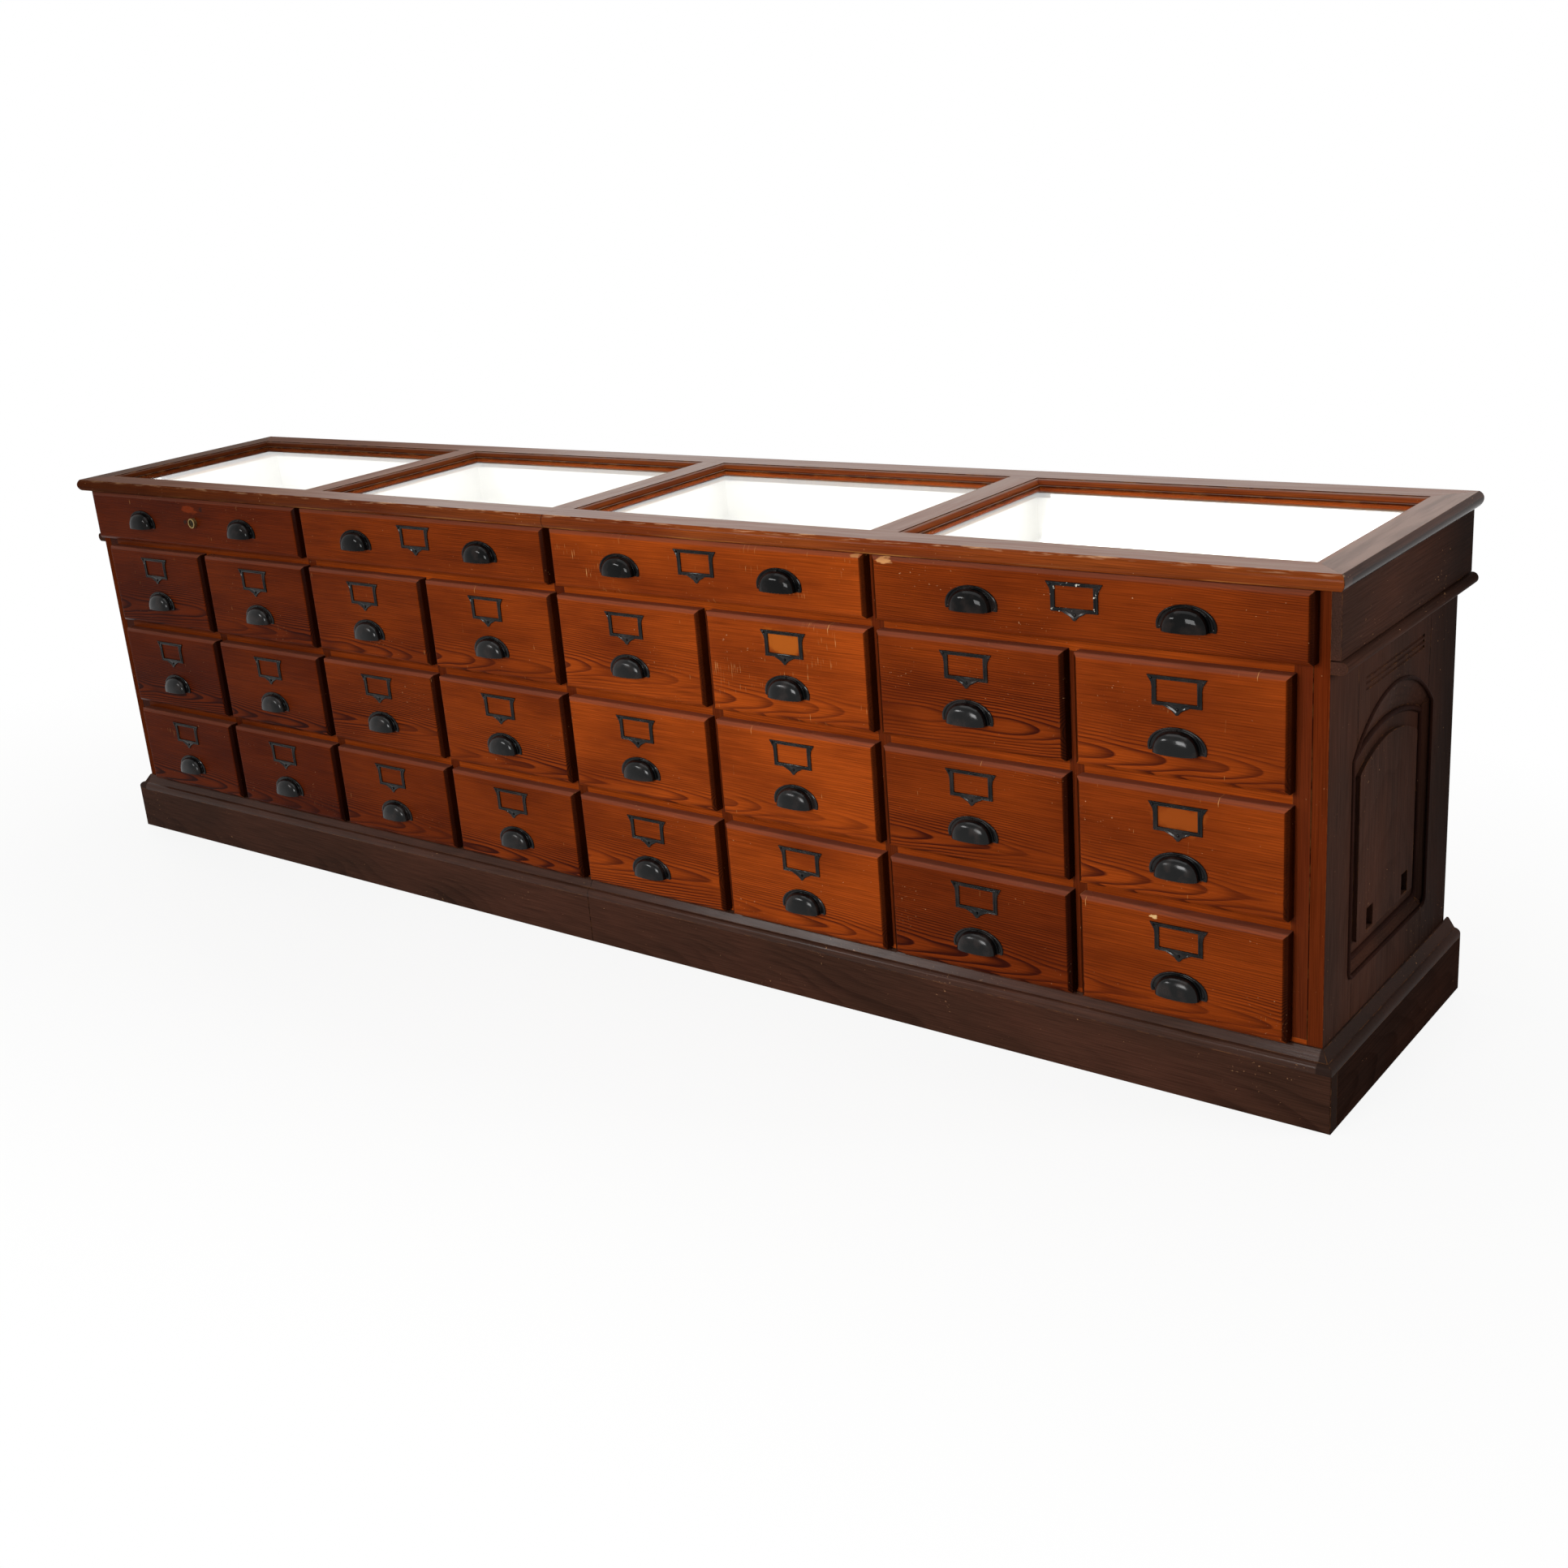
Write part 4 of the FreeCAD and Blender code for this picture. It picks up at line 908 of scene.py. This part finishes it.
def pull_places(drawer):
    """The middle of each cup's lip, on the front."""
    sizes = bpy.context.scene.cabinet_fittings
    if drawer.wide:
        half = sizes.pull_spacing / 2
        return [drawer.fitting(offset, sizes.wide_pull_height) for offset in (-half, half)]
    return [drawer.fitting(0, sizes.small_pull_height)]


def label_places(drawer):
    """The middle of each label holder's foot; the drawer with the lock has none."""
    sizes = bpy.context.scene.cabinet_fittings
    if drawer.node == LOCKED:
        return []
    return [drawer.fitting(0, sizes.wide_label_height if drawer.wide else sizes.small_label_height)]


# Operators, one for each group of like pieces

class HABERDASHERY_OT_drawer_fronts(bpy.types.Operator):
    """Make the chamfered fronts of the drawers"""

    bl_idname = "haberdashery.drawer_fronts"
    bl_label = "Drawer fronts"

    def execute(self, context):
        sizes = context.scene.cabinet_drawers
        wood = shellacked_pine("piece")
        for drawer in drawers():
            # The heart lies behind the lower part of a small front, so the flames are there, and well
            # below a wide front, whose lines run straight
            heart = (-0.7 if drawer.wide else 0.2) + 0.12 * math.sin(drawer.seed)
            pith = (
                drawer.middle + drawer.seed,
                drawer.low[Z] + heart * (drawer.high[Z] - drawer.low[Z]),
                drawer.face + 0.034 + 0.012 * math.cos(3 * drawer.seed),
            )
            worn = 0.12 if drawer.node in KNOCKED else 0.0
            slab = drawer_slab(drawer.low, drawer.high, sizes).along(X, pith, drawer.shade, worn)
            piece(f"{drawer.node}_front", [slab], wood, drawer.body, (drawer.node,))
        return {"FINISHED"}


class HABERDASHERY_OT_drawer_boxes(bpy.types.Operator):
    """Make the sides, backs and bottoms of the drawers"""

    bl_idname = "haberdashery.drawer_boxes"
    bl_label = "Drawer boxes"

    def execute(self, context):
        sizes = context.scene.cabinet_drawers
        wood = bare_pine("piece")
        arris = sizes.arris / 2
        for drawer in drawers():
            half = drawer.box_width / 2
            inner = half - sizes.side_thickness
            front, back = drawer.wall, drawer.wall + sizes.box_length
            inside = back - sizes.side_thickness
            foot, top = drawer.box_foot, drawer.box_foot + drawer.box_height
            bottom = foot + sizes.bottom_rise
            limits = [
                ((-half, front, foot), (-inner, back, top), Y),
                ((inner, front, foot), (half, back, top), Y),
                ((-inner, inside, bottom), (inner, back, top - sizes.back_drop), X),
                ((-inner, front, bottom), (inner, inside, bottom + sizes.bottom_thickness), X),
            ]
            shift = np.array([drawer.middle, 0, 0])
            skins = []
            for place, (low, high, axis) in enumerate(limits):
                pith = np.array([drawer.seed + place, 0.02 * place, 0.05])
                skins.append(board(low + shift, high + shift, axis, arris).along(axis, pith, 0.1 * place))
            piece(f"{drawer.node}_box", skins, wood, drawer.body)
        return {"FINISHED"}


class HABERDASHERY_OT_paper_linings(bpy.types.Operator):
    """Line the wide drawers with white paper"""

    bl_idname = "haberdashery.paper_linings"
    bl_label = "Paper linings"

    def execute(self, context):
        sizes = context.scene.cabinet_drawers
        paper = lining_paper()
        thin = sizes.paper_thickness
        for drawer in drawers():
            if not drawer.wide:
                continue
            inner = drawer.box_width / 2 - sizes.side_thickness
            front = drawer.wall
            back = drawer.wall + sizes.box_length - sizes.side_thickness
            floor = drawer.box_foot + sizes.bottom_rise + sizes.bottom_thickness
            rim = floor + sizes.paper_height
            limits = [
                ((-inner, front, floor), (inner, back, floor + thin)),
                ((-inner, front, floor), (-inner + thin, back, rim)),
                ((inner - thin, front, floor), (inner, back, rim)),
                ((-inner, back - thin, floor), (inner, back, rim)),
                ((-inner, front, floor), (inner, front + thin, rim)),
            ]
            shift = np.array([drawer.middle, 0, 0])
            skins = [board(low + shift, high + shift, X, thin / 8) for low, high in limits]
            piece(f"{drawer.node}_paper", skins, paper, drawer.body)
        return {"FINISHED"}


class HABERDASHERY_OT_cup_pulls(bpy.types.Operator):
    """Make the cup pulls"""

    bl_idname = "haberdashery.cup_pulls"
    bl_label = "Cup pulls"

    def execute(self, context):
        sizes = context.scene.cabinet_fittings
        bright = japanned_iron("japanned_iron", sharpest=0.05, dullest=0.12, shine=0.10)
        worn = japanned_iron("worn_japanned_iron", sharpest=0.14, dullest=0.28, shine=0.20)
        for drawer in drawers():
            skins = []
            for place in pull_places(drawer):
                skins += [cup_shell(place, sizes), cup_flange(place, sizes)]
            iron = bright if drawer.wide else worn
            replaced = (f"{drawer.node}_fittings",) if drawer.wide else ()
            piece(f"{drawer.node}_pull", skins, iron, drawer.body, replaced)
        return {"FINISHED"}


class HABERDASHERY_OT_label_holders(bpy.types.Operator):
    """Make the label holders"""

    bl_idname = "haberdashery.label_holders"
    bl_label = "Label holders"

    def execute(self, context):
        sizes = context.scene.cabinet_fittings
        iron = japanned_iron("japanned_iron_labels", sharpest=0.10, dullest=0.22, shine=0.20)
        for drawer in drawers():
            for place in label_places(drawer):
                holder = label_frame(place, sizes)
                holder.worn = 0.16 if drawer.node == SPECKED else 0.0
                piece(f"{drawer.node}_label_holder", [holder], iron, drawer.body)
        return {"FINISHED"}


class HABERDASHERY_OT_screws(bpy.types.Operator):
    """Make the screws of the pulls and the label holders"""

    bl_idname = "haberdashery.screws"
    bl_label = "Screws"

    def execute(self, context):
        sizes = context.scene.cabinet_fittings
        iron = bpy.data.materials["japanned_iron"]
        side = (sizes.cup_width + sizes.flange_width) / 4
        crown = (sizes.cup_height + sizes.flange_centre + sizes.flange_rise) / 2
        ear = sizes.label_width / 2 + sizes.label_ear / 4
        ear_level = sizes.label_height - 0.005
        pull_screws = [(-side, sizes.flange_centre / 2), (side, sizes.flange_centre / 2), (0, crown)]
        label_screws = [(-ear, ear_level), (ear, ear_level), (0, -sizes.label_pendant / 3)]
        for drawer in drawers():
            fittings = (
                (pull_places(drawer), pull_screws, sizes.flange_thickness * 0.8),
                (label_places(drawer), label_screws, sizes.label_thickness * 0.7),
            )
            skins = [
                screw_head(place + np.array([across, -seat, up]), sizes.screw_radius)
                for places, screws, seat in fittings for place in places for across, up in screws
            ]
            piece(f"{drawer.node}_screws", skins, iron, drawer.body)
        return {"FINISHED"}


class HABERDASHERY_OT_lock(bpy.types.Operator):
    """Finish the lock of the first wide drawer"""

    bl_idname = "haberdashery.lock"
    bl_label = "Lock"

    def execute(self, context):
        tints = context.scene.cabinet_finish
        finish_nodes(old_brass("old_brass", tints.brass), "lock_case", "lock_bolt")
        finish_nodes(old_brass("dark_brass", tints.dark_brass), "lock_plug")
        return {"FINISHED"}


class HABERDASHERY_OT_glazed_top(bpy.types.Operator):
    """Finish the glazed top"""

    bl_idname = "haberdashery.glazed_top"
    bl_label = "Glazed top"

    def execute(self, context):
        finish_nodes(top_pine("x"), "top_front_rails", "top_back_rails")
        finish_nodes(top_pine("y"), "top_cross_bars")
        finish_nodes(top_pine("y", stained=True), "top_end_rails")
        finish_nodes(window_glass(), "glass_panes")
        return {"FINISHED"}


class HABERDASHERY_OT_plinth(bpy.types.Operator):
    """Finish the plinth and its moulding"""

    bl_idname = "haberdashery.plinth"
    bl_label = "Plinth"

    def execute(self, context):
        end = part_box("end_frame_right")[1][X]
        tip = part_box("plinth_front")[1][X] - 0.0005
        finish_nodes(stained_pine("x", polish=0.012, end=tip), "plinth_front")
        finish_nodes(stained_pine("x", 0.09, 0.2, "_polished", end), "plinth_moulding")
        finish_nodes(stained_pine("y", suffix="_low", end=end), "plinth_ends")
        return {"FINISHED"}


class HABERDASHERY_OT_ends(bpy.types.Operator):
    """Finish the panelled ends"""

    bl_idname = "haberdashery.ends"
    bl_label = "Panelled ends"

    def execute(self, context):
        sizes = context.scene.cabinet_ends
        upright, level, bent = stained_pine("z"), stained_pine("y"), stained_pine("piece")
        radius, bevel = sizes.bead_radius, sizes.bevel_width
        for side, outwards in (("left", -1), ("right", 1)):
            finish_nodes(upright, f"end_frame_{side}", f"end_panel_{side}")
            finish_nodes(level, f"end_frieze_{side}", f"end_moulding_{side}")
            # One bead runs round the panel and one round the mouth of the bevelled opening
            low, high = (np.array(corner)[1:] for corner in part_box(f"end_panel_{side}"))
            face = outwards * max(abs(corner[X]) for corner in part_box(f"end_frame_{side}"))
            beads = [
                arch_bead(low + radius, high - radius, sizes.arch_rise, face - outwards * sizes.bevel_depth,
                          outwards, radius, 3 * radius),
                arch_bead(low - bevel, high + (bevel, sizes.head_bevel), sizes.head_rise, face,
                          outwards, radius * 0.7, 3 * radius),
            ]
            # The beads are darker than the frame: painted shade for the dark lines round the panel
            skins = [bead.along(Z, (0, 0, 0), tone=0.7) for bead in beads]
            piece(f"end_beads_{side}", skins, bent, "carcass")
        return {"FINISHED"}


class HABERDASHERY_OT_carcass(bpy.types.Operator):
    """Finish the partitions, rails, shelves and boards of the carcass"""

    bl_idname = "haberdashery.carcass"
    bl_label = "Carcass"

    def execute(self, context):
        finish_nodes(shellacked_pine("x"), "front_rails", "top_shelves", "carcass_floor", "glazing_beads")
        finish_nodes(shellacked_pine("z"), "partitions", "end_linings")
        finish_nodes(bare_pine("x"), "dust_boards")
        finish_nodes(bare_pine("z"), "floor_bearers", "back_boards")
        return {"FINISHED"}


class HABERDASHERY_OT_stage(bpy.types.Operator):
    """Set the pale floor, the soft light and the camera"""

    bl_idname = "haberdashery.stage"
    bl_label = "Stage"

    def execute(self, context):
        settings = context.scene.cabinet_stage
        context.scene.view_settings.view_transform = "Standard"
        self.floor()
        self.room(settings.ambient)
        self.lamp("key_lamp", settings.key, (1.0, -2.6, 1.35), (0.5, 0.0, 0.42), (1.1, 0.8))
        self.lamp("top_lamp", settings.top, (0.4, -0.6, 3.6), (0.4, 0.0, 0.5), (3.6, 2.0))
        self.lamp("right_lamp", settings.ends, (4.0, 0.9, 1.9), (1.5, 0.0, 0.45), (1.4, 1.4), False)
        self.lamp("left_lamp", settings.ends, (-4.0, 0.9, 1.9), (-1.5, 0.0, 0.45), (1.4, 1.4), False)
        self.lamp("back_lamp", settings.back, (0.0, 3.6, 2.0), (0.0, 0.25, 0.45), (2.4, 1.2), False)
        self.lamp("side_lamp", settings.side, (-1.6, -2.95, 2.05), (0.6, 0.0, 0.6), (0.9, 0.3))
        self.camera(settings.lens)
        return {"FINISHED"}

    def background_rays(self, tree):
        """One for a ray that shows the background: seen, mirrored or through glass."""
        path = add(tree, "LightPath", out=None)
        glossy, through = path["Is Glossy Ray"], path["Is Transmission Ray"]
        indirect = add(tree, "Math", (glossy, through), operation="MAXIMUM")
        return add(tree, "Math", (path["Is Camera Ray"], indirect), operation="MAXIMUM")

    def floor(self):
        """A wide flat sheet; most of what is seen of it is white, and the rest shows the shadow."""
        reach = 20.0
        across = np.array([-reach, reach])
        rows = np.stack([*np.meshgrid(across, across), np.zeros((2, 2))], axis=-1)
        mesh = bpy.data.meshes.new("floor")
        mesh.from_pydata(rows.reshape(-1, 3).tolist(), [], [(0, 1, 3, 2)])
        mesh.materials.append(self.pale_floor())
        item = bpy.data.objects.new("floor", mesh)
        bpy.context.scene.collection.objects.link(item)
        item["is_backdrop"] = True

    def pale_floor(self):
        """A matt pale sheet that turns to plain white away from the cabinet."""
        material, tree, shader, here = new_finish("pale_floor")
        tint = rgba(bpy.context.scene.cabinet_finish.floor)
        join(tree, shader, {"Base Color": tint, "Roughness": 0.9, "Specular IOR Level": 0.0})
        white = add(tree, "Emission", {"Color": (1, 1, 1, 1), "Strength": 1.0})
        around = add(tree, "Mapping", {"Vector": here, "Scale": (0.5, 0.9, 0.0)})
        away = add(tree, "VectorMath", (around,), "Value", operation="LENGTH")
        whiter = add(tree, "MapRange", (away, 0.7, 1.5, 0.88, 1.0))
        share = add(tree, "Math", (self.background_rays(tree), whiter), operation="MULTIPLY")
        mixed = add(tree, "MixShader", (share, shader.outputs[0], white))
        join(tree, tree.nodes["Material Output"], {"Surface": mixed})
        return material

    def room(self, ambient):
        """White where the background shows, and an even dim light elsewhere."""
        world = bpy.data.worlds.new("room")
        world.use_nodes = True
        bpy.context.scene.world = world
        tree = world.node_tree
        strength = add(tree, "MapRange", (self.background_rays(tree), 0.0, 1.0, ambient, 1.0))
        join(tree, tree.nodes["Background"], {"Color": (1, 1, 1, 1), "Strength": strength})

    def stand(self, item, right, up, back, place):
        """Turn an object to three axes, put it in its place and add it to the scene."""
        turn = np.eye(4)
        turn[:3] = np.stack([right, up, back, place], axis=1)
        item.matrix_world = Matrix(turn.tolist())
        bpy.context.scene.collection.objects.link(item)

    def lamp(self, name, watts, place, target, size, mirrored=True):
        """A soft rectangular lamp that looks at a target, and may be seen in polished surfaces."""
        data = bpy.data.lights.new(name, "AREA")
        data.shape = "RECTANGLE"
        data.size, data.size_y = size
        data.energy = watts
        item = bpy.data.objects.new(name, data)
        item.visible_glossy = mirrored
        away = np.array(place) - np.array(target)
        away = away / np.linalg.norm(away)
        side = np.cross((0, 0, 1), away)
        side = side / np.linalg.norm(side)
        self.stand(item, side, np.cross(away, side), away, place)

    def camera(self, lens):
        """The photograph's view: its place, its axes and the shift of its frame."""
        right = (0.77578783, 0.62455029, -0.08994538)
        down = (0.14239298, -0.31214872, -0.93930156)
        forward = (-0.6147174, 0.71589113, -0.33109276)
        place = (2.4385, -2.7154, 1.5174)
        data = bpy.data.cameras.new("camera")
        data.sensor_width = 36.0
        data.lens = lens
        data.shift_x = 0.0482
        data.shift_y = -0.0005
        item = bpy.data.objects.new("camera", data)
        self.stand(item, right, np.negative(down), np.negative(forward), place)
        bpy.context.scene.camera = item


class HABERDASHERY_PT_cabinet(bpy.types.Panel):
    """Lists the steps that build the cabinet"""

    bl_label = "Haberdashery cabinet"
    bl_idname = "HABERDASHERY_PT_cabinet"
    bl_space_type = "VIEW_3D"
    bl_region_type = "UI"
    bl_category = "Cabinet"

    def draw(self, context):
        for step in STEPS:
            self.layout.operator(step.bl_idname)


STEPS = (
    HABERDASHERY_OT_drawer_fronts,
    HABERDASHERY_OT_drawer_boxes,
    HABERDASHERY_OT_paper_linings,
    HABERDASHERY_OT_cup_pulls,
    HABERDASHERY_OT_label_holders,
    HABERDASHERY_OT_screws,
    HABERDASHERY_OT_lock,
    HABERDASHERY_OT_glazed_top,
    HABERDASHERY_OT_plinth,
    HABERDASHERY_OT_ends,
    HABERDASHERY_OT_carcass,
    HABERDASHERY_OT_stage,
)
SETTINGS = {
    "cabinet_drawers": DrawerSizes,
    "cabinet_fittings": FittingSizes,
    "cabinet_ends": EndSizes,
    "cabinet_finish": FinishColours,
    "cabinet_stage": StageSettings,
}


def register():
    for name, group in SETTINGS.items():
        bpy.utils.register_class(group)
        setattr(bpy.types.Scene, name, PointerProperty(type=group))
    for item in STEPS + (HABERDASHERY_PT_cabinet,):
        bpy.utils.register_class(item)


def unregister():
    for item in (HABERDASHERY_PT_cabinet,) + STEPS[::-1]:
        bpy.utils.unregister_class(item)
    for name, group in SETTINGS.items():
        delattr(bpy.types.Scene, name)
        bpy.utils.unregister_class(group)


def main():
    register()
    for step in STEPS:
        family, name = step.bl_idname.split(".")
        getattr(getattr(bpy.ops, family), name)()
    boxes = {"cad": cad_box, "visual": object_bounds()}
    {name: [list(corner) for corner in box] for name, box in boxes.items()}


if __name__ == "__main__":
    main()
